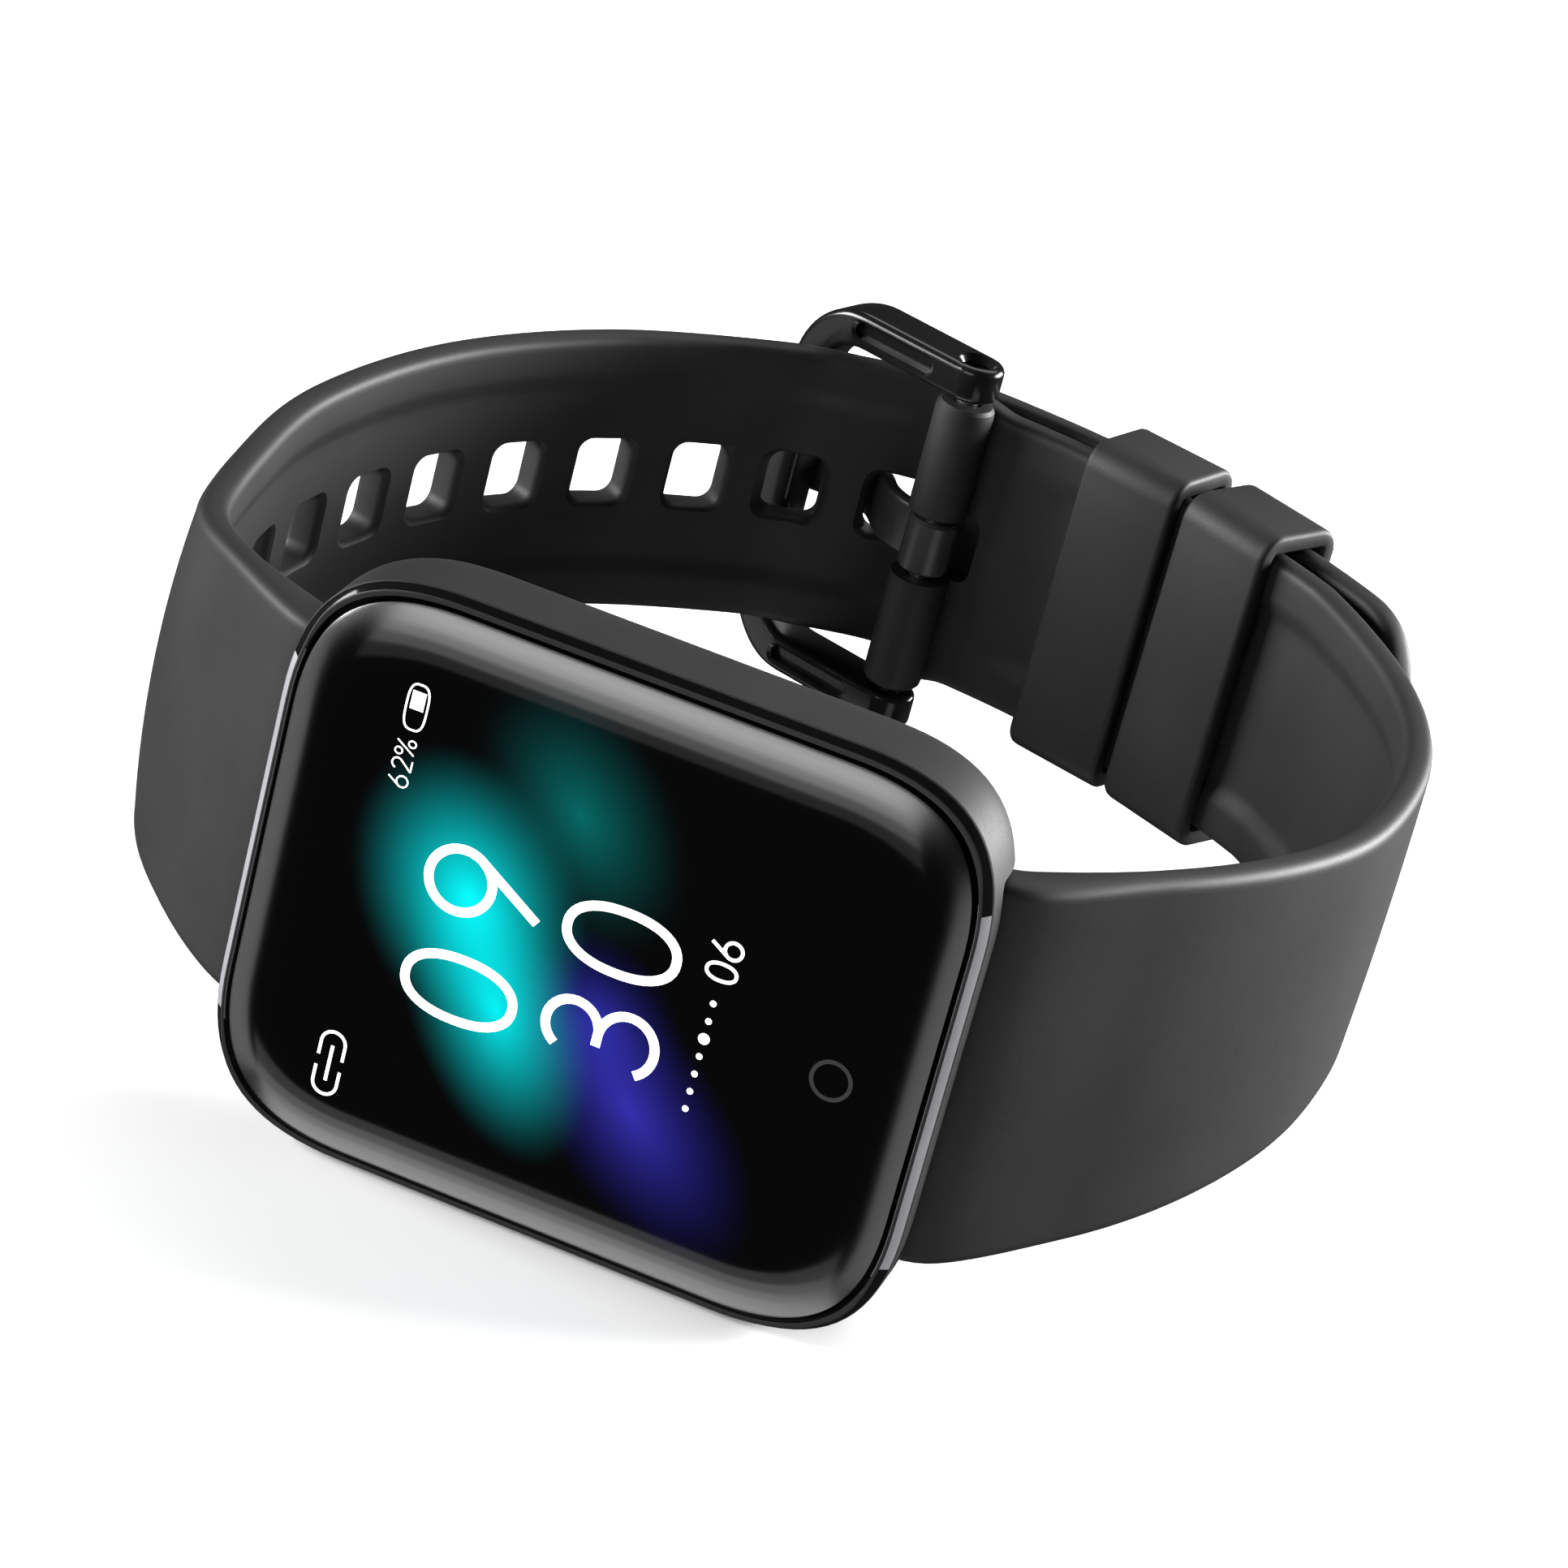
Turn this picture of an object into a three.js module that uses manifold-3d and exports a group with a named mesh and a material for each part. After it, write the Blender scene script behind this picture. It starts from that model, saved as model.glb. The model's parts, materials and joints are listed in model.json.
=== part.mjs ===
// Rectangular smartwatch on a buckled silicone band, lying on its 9 o'clock side.
// Millimetres. +X runs from 12 to 6 o'clock, +Y from the display towards the clasp,
// +Z from 9 to 3 o'clock. The model is drawn with the case centre at x = z = 0 and the
// rim of the case at y = 0, and the group is moved at the end onto its base centre.
import * as THREE from 'three';
import * as BufferGeometryUtils from 'three/addons/utils/BufferGeometryUtils.js';
import Module from 'manifold-3d';

const wasm = await Module();
wasm.setup();

// ---- driving dimensions ----
const GAP = 0.3;                  // clearance between neighbouring pieces
const CASE_HALF_X = 20.9;
const CASE_HALF_Z = 18.0;
const CASE_CORNER = 9.4;
const CASE_BACK_Y = 8.6;
const CORNER_PULL = 0.7;          // handle length of a corner curve; 0.55 would be an arc
const GLASS_HALF_X = 19.8;
const GLASS_HALF_Z = 17.0;
const GLASS_CORNER = 8.6;
const GLASS_FRONT_Y = -0.9;
const GLASS_BACK_Y = 0.45;
const LEDGE_Y = 1.75;             // ledge that the glass gasket lies on
const CAVITY_HALF_X = 15.2;
const CAVITY_HALF_Z = 13.0;
const CAVITY_CORNER = 9.0;
const COVER_HALF_X = 16.8;
const COVER_HALF_Z = 14.3;
const COVER_CORNER = 8.0;
const COVER_Y = CASE_BACK_Y + 0.25;
const COVER_THICK = 1.0;
const WINDOW_RADIUS = 7.2;        // optical window in the back

const LUG_X = 18.5;               // spring bar axis, at plus and minus
const LUG_Y = 4.3;
const LUG_RADIUS = 1.7;           // strap knuckle round the spring bar
const LUG_SLOT_X = 16.5;
const LUG_SLOT_Y = 2.25;
const LUG_SLOT_HALF_Z = 12.5;
const BAR_RADIUS = 0.75;
const BAR_INNER = 0.55;
const BAR_BORE = 1.05;            // bore of the strap knuckle
const BAR_PIN_RADIUS = 0.28;
const PIN_TIP_Z = 13.9;           // the pins reach this far into the case walls

const STRAP_THICK = 2.0;
const STRAP_HALF = 10.0;          // half width of the band at the clasp
const STRAP_LUG_HALF = 12.2;      // half width of the band at the case
const TAPER_START_Y = 3.0;
const LONG_TAPER_END_Y = 22.0;
const SHORT_TAPER_END_Y = 38.0;
const LONG_ROUTE = [[-18.5, 4.3], [-21.6, 4.7], [-28.0, 9.5], [-32.8, 16.1], [-35.0, 26.1],
  [-35.7, 38.2], [-32.6, 51.8], [-25.7, 63.5], [-16.3, 71.9], [-11.5, 74.2],
  [-6.4, 76.1]];
const SHORT_ROUTE = [[18.5, 4.3], [21.8, 5.0], [28.6, 13.7], [33.2, 23.0], [35.4, 32.4],
  [35.1, 44.0], [31.4, 54.2]];

// The clasp end of the band follows arcs about one centre, so that the keepers can slide.
const CLASP_CENTRE = new THREE.Vector2(-6.8, 21.6);
const SHORT_RADIUS = 52.35;
const LONG_RADIUS = 55.0;
const SHORT_ARC = [54, 86.5];       // degrees about the clasp centre
const LONG_ARC = [46, 84];

const HOLE_COUNT = 10;
const HOLE_PITCH = 7.1;
const HOLE_HALF_LENGTH = 1.95;
const HOLE_HALF_WIDTH = 2.3;
const HOLE_CORNER = 0.8;
const FIRST_HOLE = 6.3;           // hole with the tongue in it, from the end of the arc

const PIN = new THREE.Vector2(-3.5, 71.9);   // buckle pin axis
const PIN_RADIUS = 0.75;
const PIN_HALF_Z = 12.9;
const ROLL_RADIUS = 2.0;
const ROLL_HALF_Z = 9.9;
const NOTCH_HALF_Z = 2.4;

const FRAME_TILT = 19.6;           // degrees of the buckle frame from the X axis
const FRAME_THICK = 1.7;
const FRAME_HALF_Z = 13.4;
const FRAME_WINDOW_HALF_Z = 10.7;
const FRAME_END = 13.6;           // from the pin axis to the outer edge of the front bar
const FRAME_BAR = 2.6;
const FRAME_EAR = 2.0;

const TONGUE_HALF_Z = 1.9;
const TONGUE_THICK = 1.1;
const TONGUE_BARREL = 1.75;

const KEEPER_LENGTH = 7.2;
const KEEPER_FRONT_RADIUS = 49.9; // inner face of a keeper, from the clasp centre
const KEEPER_DEPTH = 7.5;
const KEEPER_WALL = 1.0;
const KEEPER_HALF_Z = 11.45;
const KEEPER_ANGLES = [71.6, 62.4];

// ---- materials ----
function material(color, roughness, metalness) {
  return new THREE.MeshStandardMaterial({ color, roughness, metalness });
}
const silicone = material(0x26272a, 0.75, 0);
const coatedMetal = material(0x1b1c1f, 0.35, 0.8);
const polishedMetal = material(0x0c0c0e, 0.12, 0.9);
const blackPlastic = material(0x151517, 0.5, 0);
const glass = material(0x050507, 0.05, 0);
const display = material(0x0b1420, 0.3, 0);
const whitePlastic = material(0xd8d8d4, 0.6, 0);
const foil = material(0xb9bcc2, 0.35, 0.7);
const board = material(0x12502f, 0.6, 0);
const chip = material(0x1a1a1c, 0.6, 0);
const steel = material(0xa9adb3, 0.3, 1);
const gold = material(0xd9b25a, 0.25, 1);
const rubberSeal = material(0x2f3033, 0.9, 0);

// ---- solids ----
const group = new THREE.Group();

function toSolid(geometry) {
  const plain = geometry.clone();
  plain.deleteAttribute('normal');
  plain.deleteAttribute('uv');
  const merged = BufferGeometryUtils.mergeVertices(plain, 1e-4);
  return new wasm.Manifold(new wasm.Mesh({
    numProp: 3,
    vertProperties: new Float32Array(merged.attributes.position.array),
    triVerts: new Uint32Array(merged.index.array),
  }));
}

function toGeometry(solid) {
  const mesh = solid.getMesh();
  const geometry = new THREE.BufferGeometry();
  geometry.setAttribute('position', new THREE.BufferAttribute(mesh.vertProperties, 3));
  geometry.setIndex(new THREE.BufferAttribute(mesh.triVerts, 1));
  geometry.computeVertexNormals();
  return geometry;
}

function add(name, shape, surface) {
  const geometry = shape.isBufferGeometry ? shape : toGeometry(shape);
  const mesh = new THREE.Mesh(geometry, surface);
  mesh.name = name;
  group.add(mesh);
}

// Rectangle with softly curved corners, centred on the origin.
function roundedRect(halfX, halfY, corner, pull = CORNER_PULL) {
  const k = corner * (1 - pull);
  const shape = new THREE.Shape();
  shape.moveTo(halfX - corner, -halfY);
  shape.bezierCurveTo(halfX - k, -halfY, halfX, -halfY + k, halfX, -halfY + corner);
  shape.lineTo(halfX, halfY - corner);
  shape.bezierCurveTo(halfX, halfY - k, halfX - k, halfY, halfX - corner, halfY);
  shape.lineTo(-halfX + corner, halfY);
  shape.bezierCurveTo(-halfX + k, halfY, -halfX, halfY - k, -halfX, halfY - corner);
  shape.lineTo(-halfX, -halfY + corner);
  shape.bezierCurveTo(-halfX, -halfY + k, -halfX + k, -halfY, -halfX + corner, -halfY);
  return shape;
}

// Plate seen from the display: a shape in x and z, from y = front to y = back.
function plate(shape, front, back, curveSegments = 6) {
  const geometry = new THREE.ExtrudeGeometry(shape, {
    depth: back - front, bevelEnabled: false, curveSegments,
  });
  geometry.rotateX(Math.PI / 2);
  geometry.translate(0, back, 0);
  return geometry;
}

// The same plate with bevelled edges; the bevel stays inside front, back and the shape.
function bevelledPlate(shape, front, back, inset, depth, bevelSegments, curveSegments = 6) {
  const geometry = new THREE.ExtrudeGeometry(shape, {
    depth: back - front - 2 * depth, bevelThickness: depth, bevelSize: inset,
    bevelOffset: -inset, bevelSegments, curveSegments,
  });
  geometry.rotateX(Math.PI / 2);
  geometry.translate(0, back - depth, 0);
  return geometry;
}

function box(x0, x1, y0, y1, z0, z1) {
  const geometry = new THREE.BoxGeometry(x1 - x0, y1 - y0, z1 - z0);
  geometry.translate((x0 + x1) / 2, (y0 + y1) / 2, (z0 + z1) / 2);
  return geometry;
}

// Round bar along Z between two heights, and round disc along Y between two depths.
function barZ(x, y, radius, z0, z1, sides = 20) {
  const geometry = new THREE.CylinderGeometry(radius, radius, z1 - z0, sides);
  geometry.rotateX(Math.PI / 2);
  geometry.translate(x, y, (z0 + z1) / 2);
  return geometry;
}

function discY(x, z, radius, y0, y1, sides = 24) {
  const geometry = new THREE.CylinderGeometry(radius, radius, y1 - y0, sides);
  geometry.translate(x, (y0 + y1) / 2, z);
  return geometry;
}

function tubeZ(x, y, outer, inner, z0, z1, sides = 16) {
  const bore = toSolid(barZ(x, y, inner, z0 - 1, z1 + 1, sides));
  return toSolid(barZ(x, y, outer, z0, z1, sides)).subtract(bore);
}

// ---- case ----
function caseBlock() {
  const outline = roundedRect(CASE_HALF_X, CASE_HALF_Z, CASE_CORNER);
  const chamfered = toSolid(bevelledPlate(outline, 0, 30, 0.4, 0.6, 1, 8));
  const rounded = toSolid(bevelledPlate(outline, -20, CASE_BACK_Y, 3.3, 5.2, 5, 8));
  return chamfered.intersect(rounded);
}

// Flat facet along the 12 and 6 o'clock edges, wider than the chamfer of the sides.
function endFacet(side) {
  const run = 0.9;
  const rise = 0.7;
  const cutter = new THREE.Shape();
  cutter.moveTo(side * (CASE_HALF_X - run), 0);
  cutter.lineTo(side * CASE_HALF_X, rise);
  cutter.lineTo(side * (CASE_HALF_X + 2), rise);
  cutter.lineTo(side * (CASE_HALF_X + 2), -2);
  cutter.lineTo(side * (CASE_HALF_X - run), -2);
  const geometry = new THREE.ExtrudeGeometry(cutter, { depth: 50, bevelEnabled: false });
  geometry.translate(0, 0, -25);
  return toSolid(geometry);
}

function lugSlot(side) {
  const near = side * LUG_SLOT_X;
  const far = side * 30;
  return toSolid(box(Math.min(near, far), Math.max(near, far), LUG_SLOT_Y, 30,
    -LUG_SLOT_HALF_Z, LUG_SLOT_HALF_Z));
}

const screwPlaces = [[-13.9, -11.65], [-13.9, 11.65], [13.9, -11.65], [13.9, 11.65]];

function caseBody() {
  let body = caseBlock();
  const seat = roundedRect(GLASS_HALF_X + GAP, GLASS_HALF_Z + GAP, GLASS_CORNER + GAP);
  body = body.subtract(toSolid(plate(seat, -2, LEDGE_Y)));
  const cavity = roundedRect(CAVITY_HALF_X, CAVITY_HALF_Z, CAVITY_CORNER);
  body = body.subtract(toSolid(plate(cavity, 0, 20)));
  body = body.subtract(gasketGroove());
  for (const side of [-1, 1]) {
    body = body.subtract(endFacet(side)).subtract(lugSlot(side));
    body = body.subtract(toSolid(barZ(side * LUG_X, LUG_Y, BAR_PIN_RADIUS + 0.3, -14.4, 14.4, 12)));
  }
  for (const [x, z] of screwPlaces) {
    body = body.subtract(toSolid(discY(x, z, 0.65, CASE_BACK_Y - 3, CASE_BACK_Y + 1, 10)));
  }
  return body;
}

function backRing(inner, outer, front, back) {
  const outside = roundedRect(CAVITY_HALF_X + outer, CAVITY_HALF_Z + outer, CAVITY_CORNER + outer);
  const inside = roundedRect(CAVITY_HALF_X + inner, CAVITY_HALF_Z + inner, CAVITY_CORNER + inner);
  return toSolid(plate(outside, front, back, 5))
    .subtract(toSolid(plate(inside, front - 1, back + 1, 5)));
}

// The groove is open to the cavity, and the back gasket lies in it with room all round.
function gasketGroove() {
  const open = roundedRect(CAVITY_HALF_X + 0.75, CAVITY_HALF_Z + 0.75, CAVITY_CORNER + 0.75);
  return toSolid(plate(open, CASE_BACK_Y - 0.8, CASE_BACK_Y + 1, 5));
}

function backCover() {
  const outline = roundedRect(COVER_HALF_X, COVER_HALF_Z, COVER_CORNER);
  let cover = toSolid(bevelledPlate(outline, COVER_Y - 2, COVER_Y + COVER_THICK, 0.45, 0.45, 2));
  cover = cover.subtract(toSolid(box(-30, 30, -30, COVER_Y, -30, 30)));
  const dome = roundedRect(11.5, 10.5, 7, 0.6);
  cover = cover.add(toSolid(bevelledPlate(dome, COVER_Y, COVER_Y + 1.9, 1.6, 0.9, 3)));
  const hollow = roundedRect(9.4, 8.6, 5, 0.6);
  cover = cover.subtract(toSolid(plate(hollow, COVER_Y - 1, COVER_Y + 0.75)));
  const window = toSolid(discY(0, 0, WINDOW_RADIUS + GAP, COVER_Y - 1, COVER_Y + 5, 32));
  cover = cover.subtract(window);
  for (const [x, z] of screwPlaces) {
    cover = cover.subtract(toSolid(discY(x, z, 0.65, COVER_Y - 1, COVER_Y + 3, 10)));
    cover = cover.subtract(toSolid(discY(x, z, 0.95, COVER_Y + 0.45, COVER_Y + 3, 12)));
  }
  for (const x of [-1.5, 1.5]) {
    cover = cover.subtract(toSolid(discY(x, 10.9, 0.75 + 0.25, COVER_Y - 1, COVER_Y + 3, 14)));
  }
  return cover;
}

function backScrew(x, z) {
  const shank = toSolid(discY(x, z, 0.35, CASE_BACK_Y - 2.4, COVER_Y + 0.8, 10));
  return shank.add(toSolid(discY(x, z, 0.65, COVER_Y + 0.75, COVER_Y + 1.05, 14)));
}

function sensorWindow() {
  const profile = [[0, 0], [WINDOW_RADIUS, 0], [WINDOW_RADIUS, 0.9], [6.1, 1.45], [3.6, 1.7], [0, 1.8]];
  const points = profile.map(([r, h]) => new THREE.Vector2(r, h));
  const geometry = new THREE.LatheGeometry(points, 32);
  geometry.translate(0, COVER_Y + 0.35, 0);
  return geometry;
}

function glassLens() {
  const outline = roundedRect(GLASS_HALF_X, GLASS_HALF_Z, GLASS_CORNER);
  const lens = toSolid(bevelledPlate(outline, GLASS_FRONT_Y, 4, 2.6, 0.85, 4));
  return lens.subtract(toSolid(box(-30, 30, GLASS_BACK_Y, 20, -30, 30)));
}

function glassGasket() {
  const outside = roundedRect(GLASS_HALF_X - 0.2, GLASS_HALF_Z - 0.2, GLASS_CORNER - 0.2);
  const inside = roundedRect(GLASS_HALF_X - 1.1, GLASS_HALF_Z - 1.1, GLASS_CORNER - 0.9);
  return toSolid(plate(outside, 0.75, 1.45)).subtract(toSolid(plate(inside, 0, 3)));
}

add('case_body', caseBody(), coatedMetal);
add('back_cover', backCover(), blackPlastic);
add('back_gasket', backRing(0.1, 0.45, CASE_BACK_Y - 0.5, CASE_BACK_Y + 0.05), rubberSeal);
screwPlaces.forEach(([x, z], i) => add(`back_screw_${i + 1}`, backScrew(x, z), steel));
add('sensor_window', sensorWindow(), glass);
[-1.5, 1.5].forEach((x, i) => {
  add(`charging_pin_${i + 1}`, discY(x, 10.9, 0.7, COVER_Y + 0.1, COVER_Y + 1.75, 16), gold);
});
add('glass_lens', glassLens(), glass);
add('glass_gasket', glassGasket(), rubberSeal);

// ---- inside the case ----
function shieldCan() {
  const outside = toSolid(box(6.2, 13.4, 5.6, 7.3, 0.6, 8.4));
  return outside.subtract(toSolid(box(6.5, 13.1, 5.9, 9, 0.9, 8.1)));
}

function innerFrame() {
  const outline = roundedRect(14.8, 12.6, 8.6);
  const window = roundedRect(3.2, 2.2, 0.8);
  let frame = toSolid(plate(outline, 3.75, 4.35));
  frame = frame.subtract(toSolid(plate(window, 2, 6)).translate(10, 0, 5));
  frame = frame.add(toSolid(box(4.7, 5.5, 4.2, 7.1, -8, 8)));
  return frame.add(toSolid(box(-14.2, -13.6, 4.2, 7.1, -5, 5)));
}

function sensorBaffle() {
  const ring = toSolid(discY(0, 0, 5.6, 8.35, 8.8, 28));
  let baffle = ring;
  for (const [x, z, r] of [[-3.1, 0, 1.3], [3.1, 0, 1.3], [0, 0, 1.55]]) {
    baffle = baffle.subtract(toSolid(discY(x, z, r, 8, 10, 16)));
  }
  return baffle;
}

function boardWithHoles() {
  const outline = roundedRect(14.6, 12.4, 8.4);
  let pcb = toSolid(plate(outline, 7.6, 8.05));
  for (const z of [-10.2, 10.2]) {
    pcb = pcb.subtract(toSolid(discY(-6, z, 0.8, 7, 9, 12)));
  }
  return pcb;
}

function addInside() {
  add('display_panel', plate(roundedRect(18.3, 15.5, 7.4), 0.75, 1.45, 5), display);
  add('display_backing', plate(roundedRect(14.8, 12.6, 8.6), 1.85, 2.45, 5), foil);
  add('display_driver', box(-12.0, -7.0, 2.75, 3.45, -4.0, 4.0), chip);
  add('inner_frame', innerFrame(), blackPlastic);
  add('battery', plate(roundedRect(8.6, 7.6, 1.2, 0.55), 4.65, 7.3, 4).translate(-4.5, 0, 0), foil);
  add('main_board', boardWithHoles(), board);
  add('shield_can', shieldCan(), foil);
  add('processor_chip', box(7.4, 12.0, 6.2, 7.3, 2.0, 7.0), chip);
  add('motion_sensor', box(7.0, 9.4, 6.5, 7.3, -1.6, -0.2), chip);
  add('vibration_motor', discY(10.0, -6.2, 3.5, 4.65, 7.25, 24), steel);
  add('flex_cable', box(-3.0, 3.0, 7.05, 7.25, 8.3, 11.6), gold);
  add('charging_magnet_1', discY(-5.2, 10.2, 0.6, 8.35, 8.6, 14), steel);
  add('charging_magnet_2', discY(5.2, 10.2, 0.6, 8.35, 8.6, 14), steel);
  add('sensor_baffle', sensorBaffle(), blackPlastic);
  add('heart_led_1', box(-3.9, -2.3, 8.35, 8.75, -0.5, 0.5), whitePlastic);
  add('heart_led_2', box(2.3, 3.9, 8.35, 8.75, -0.5, 0.5), whitePlastic);
  add('photodiode', box(-0.95, 0.95, 8.35, 8.75, -0.95, 0.95), chip);
}
addInside();

// ---- band ----
function splinePoints(route, count) {
  const curve = new THREE.SplineCurve(route.map(([x, y]) => new THREE.Vector2(x, y)));
  return curve.getPoints(count);
}

function arcPoint(radius, degrees) {
  const a = THREE.MathUtils.degToRad(degrees);
  return new THREE.Vector2(CLASP_CENTRE.x + radius * Math.cos(a), CLASP_CENTRE.y + radius * Math.sin(a));
}

function arcPoints(radius, from, to, count) {
  const points = [];
  for (let i = 0; i <= count; i += 1) {
    points.push(arcPoint(radius, from + (to - from) * (i / count)));
  }
  return points;
}

// Centre line of a strap: the free route, then the arc of the clasp end.
function centreLine(route, radius, arcFrom, arcTo, arcSteps) {
  const start = arcPoint(radius, arcFrom);
  const guide = arcPoint(radius, arcFrom + (arcTo - arcFrom) / 4);
  const knots = [...route, [start.x, start.y], [guide.x, guide.y]];
  const free = splinePoints(knots, (knots.length - 1) * 6);
  return [...free.slice(0, -7), ...arcPoints(radius, arcFrom, arcTo, arcSteps)];
}

// Strip of a given thickness about a centre line; it is thicker where it leaves the case.
function stripShape(line, thickness) {
  const left = [];
  const right = [];
  let run = 0;
  line.forEach((point, i) => {
    const before = line[Math.max(i - 1, 0)];
    const after = line[Math.min(i + 1, line.length - 1)];
    if (i > 0) run += point.distanceTo(before);
    const normal = new THREE.Vector2(-(after.y - before.y), after.x - before.x).normalize();
    const swell = 1.2 * (1 - THREE.MathUtils.smoothstep(run, 1.5, 12));
    const half = (thickness + swell) / 2;
    left.push(point.clone().addScaledVector(normal, half));
    right.unshift(point.clone().addScaledVector(normal, -half));
  });
  return new THREE.Shape([...left, ...right]);
}

function extrudeZ(shape, halfZ, curveSegments = 8) {
  const geometry = new THREE.ExtrudeGeometry(shape, {
    depth: 2 * halfZ, bevelEnabled: false, curveSegments,
  });
  geometry.translate(0, 0, -halfZ);
  return toSolid(geometry);
}

// Everything within the band's width, which narrows with y from the case to the clasp.
function taperSolid(endY) {
  const outline = [];
  const steps = 8;
  for (let i = 0; i <= steps; i += 1) {
    const y = TAPER_START_Y + (endY - TAPER_START_Y) * (i / steps);
    const share = THREE.MathUtils.smoothstep(y, TAPER_START_Y, endY);
    outline.push(new THREE.Vector2(y, STRAP_LUG_HALF + (STRAP_HALF - STRAP_LUG_HALF) * share));
  }
  const upper = [new THREE.Vector2(-10, STRAP_LUG_HALF), ...outline, new THREE.Vector2(120, STRAP_HALF)];
  const lower = upper.map((p) => new THREE.Vector2(p.x, -p.y)).reverse();
  const geometry = new THREE.ExtrudeGeometry(new THREE.Shape([...upper, ...lower]), {
    depth: 120, bevelEnabled: false,
  });
  const turn = new THREE.Matrix4().makeBasis(
    new THREE.Vector3(0, 1, 0), new THREE.Vector3(0, 0, 1), new THREE.Vector3(1, 0, 0));
  geometry.applyMatrix4(turn);
  geometry.translate(-60, 0, 0);
  return toSolid(geometry);
}

function lugEnd(solid, side) {
  const knuckle = toSolid(barZ(side * LUG_X, LUG_Y, LUG_RADIUS, -STRAP_LUG_HALF, STRAP_LUG_HALF, 20));
  const bore = toSolid(barZ(side * LUG_X, LUG_Y, BAR_BORE, -20, 20, 16));
  const lever = toSolid(box(side * LUG_X - 1.2, side * LUG_X + 1.2, LUG_Y, LUG_Y + 4, 6.4, 10.6));
  return solid.add(knuckle).subtract(bore).subtract(lever);
}

// Square adjustment hole through the strap at one point of its centre line.
function strapHole(point, tangent) {
  const geometry = new THREE.ExtrudeGeometry(roundedRect(HOLE_HALF_LENGTH, HOLE_HALF_WIDTH, HOLE_CORNER, 0.55), {
    depth: 8, bevelEnabled: false, curveSegments: 3,
  });
  geometry.translate(0, 0, -4);
  const turn = new THREE.Matrix4().makeBasis(
    new THREE.Vector3(tangent.x, tangent.y, 0), new THREE.Vector3(0, 0, 1),
    new THREE.Vector3(tangent.y, -tangent.x, 0));
  turn.setPosition(point.x, point.y, 0);
  geometry.applyMatrix4(turn);
  return toSolid(geometry);
}

// Points along a line and its direction there, counted back from the start of the clasp arc.
function holeStations(line, arcSteps) {
  const stations = [];
  let wanted = FIRST_HOLE;
  let run = 0;
  for (let i = line.length - 1 - arcSteps; i > 0 && stations.length < HOLE_COUNT; i -= 1) {
    const step = line[i].distanceTo(line[i - 1]);
    while (run + step >= wanted && stations.length < HOLE_COUNT) {
      const point = line[i].clone().lerp(line[i - 1], (wanted - run) / step);
      stations.push([point, line[i - 1].clone().sub(line[i]).normalize()]);
      wanted += HOLE_PITCH;
    }
    run += step;
  }
  return stations;
}

function strapTip() {
  const tip = arcPoint(LONG_RADIUS, LONG_ARC[0]);
  const a = THREE.MathUtils.degToRad(LONG_ARC[0]);
  const outline = roundedRect(30, STRAP_HALF, 6, 0.6);
  const geometry = new THREE.ExtrudeGeometry(outline, { depth: 20, bevelEnabled: false, curveSegments: 6 });
  geometry.translate(-30, 0, -10);
  const turn = new THREE.Matrix4().makeBasis(
    new THREE.Vector3(Math.sin(a), -Math.cos(a), 0), new THREE.Vector3(0, 0, 1),
    new THREE.Vector3(-Math.cos(a), -Math.sin(a), 0));
  turn.setPosition(tip.x, tip.y, 0);
  geometry.applyMatrix4(turn);
  return toSolid(geometry);
}

function strapLong() {
  const arcSteps = 14;
  const line = centreLine(LONG_ROUTE, LONG_RADIUS, LONG_ARC[1], LONG_ARC[0], arcSteps);
  let strap = extrudeZ(stripShape(line, STRAP_THICK), STRAP_LUG_HALF);
  strap = strap.intersect(taperSolid(LONG_TAPER_END_Y));
  const tipZone = toSolid(box(16, 60, 50, 90, -20, 20));
  strap = strap.subtract(tipZone).add(strap.intersect(tipZone).intersect(strapTip()));
  for (const [point, tangent] of holeStations(line, arcSteps)) {
    strap = strap.subtract(strapHole(point, tangent));
  }
  return lugEnd(strap, -1);
}

function strapShort() {
  const line = centreLine(SHORT_ROUTE, SHORT_RADIUS, SHORT_ARC[0], SHORT_ARC[1], 12);
  let strap = extrudeZ(stripShape(line, STRAP_THICK), STRAP_LUG_HALF);
  strap = strap.intersect(taperSolid(SHORT_TAPER_END_Y));
  strap = strap.add(toSolid(barZ(PIN.x, PIN.y, ROLL_RADIUS, -ROLL_HALF_Z, ROLL_HALF_Z, 28)));
  const notch = box(PIN.x - 4, PIN.x + 3.1, PIN.y - 4, PIN.y + 4, -NOTCH_HALF_Z, NOTCH_HALF_Z);
  strap = strap.subtract(toSolid(notch));
  strap = strap.subtract(toSolid(barZ(PIN.x, PIN.y, PIN_RADIUS + GAP, -20, 20, 20)));
  return lugEnd(strap, 1);
}

add('strap_long', strapLong(), silicone);
add('strap_short', strapShort(), silicone);

// ---- quick release spring bars, one at each end of the case ----
function quickPin(side) {
  const x = side * LUG_X;
  const pin = toSolid(barZ(x, LUG_Y, BAR_PIN_RADIUS, 5.6, PIN_TIP_Z, 10));
  return pin.add(toSolid(box(x - 0.35, x + 0.35, LUG_Y, LUG_Y + 2.1, 9.3, 9.9)));
}

function springCoil(side) {
  const turns = 5;
  const points = [];
  for (let i = 0; i <= turns * 8; i += 1) {
    const a = (i / 8) * 2 * Math.PI;
    points.push(new THREE.Vector3(side * LUG_X + 0.28 * Math.cos(a), LUG_Y + 0.28 * Math.sin(a),
      1.6 + i * 0.09));
  }
  const wire = new THREE.Shape().absarc(0, 0, 0.09, 0, 2 * Math.PI);
  return new THREE.ExtrudeGeometry(wire, {
    steps: 40, bevelEnabled: false, curveSegments: 3,
    extrudePath: new THREE.CatmullRomCurve3(points),
  });
}

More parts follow.
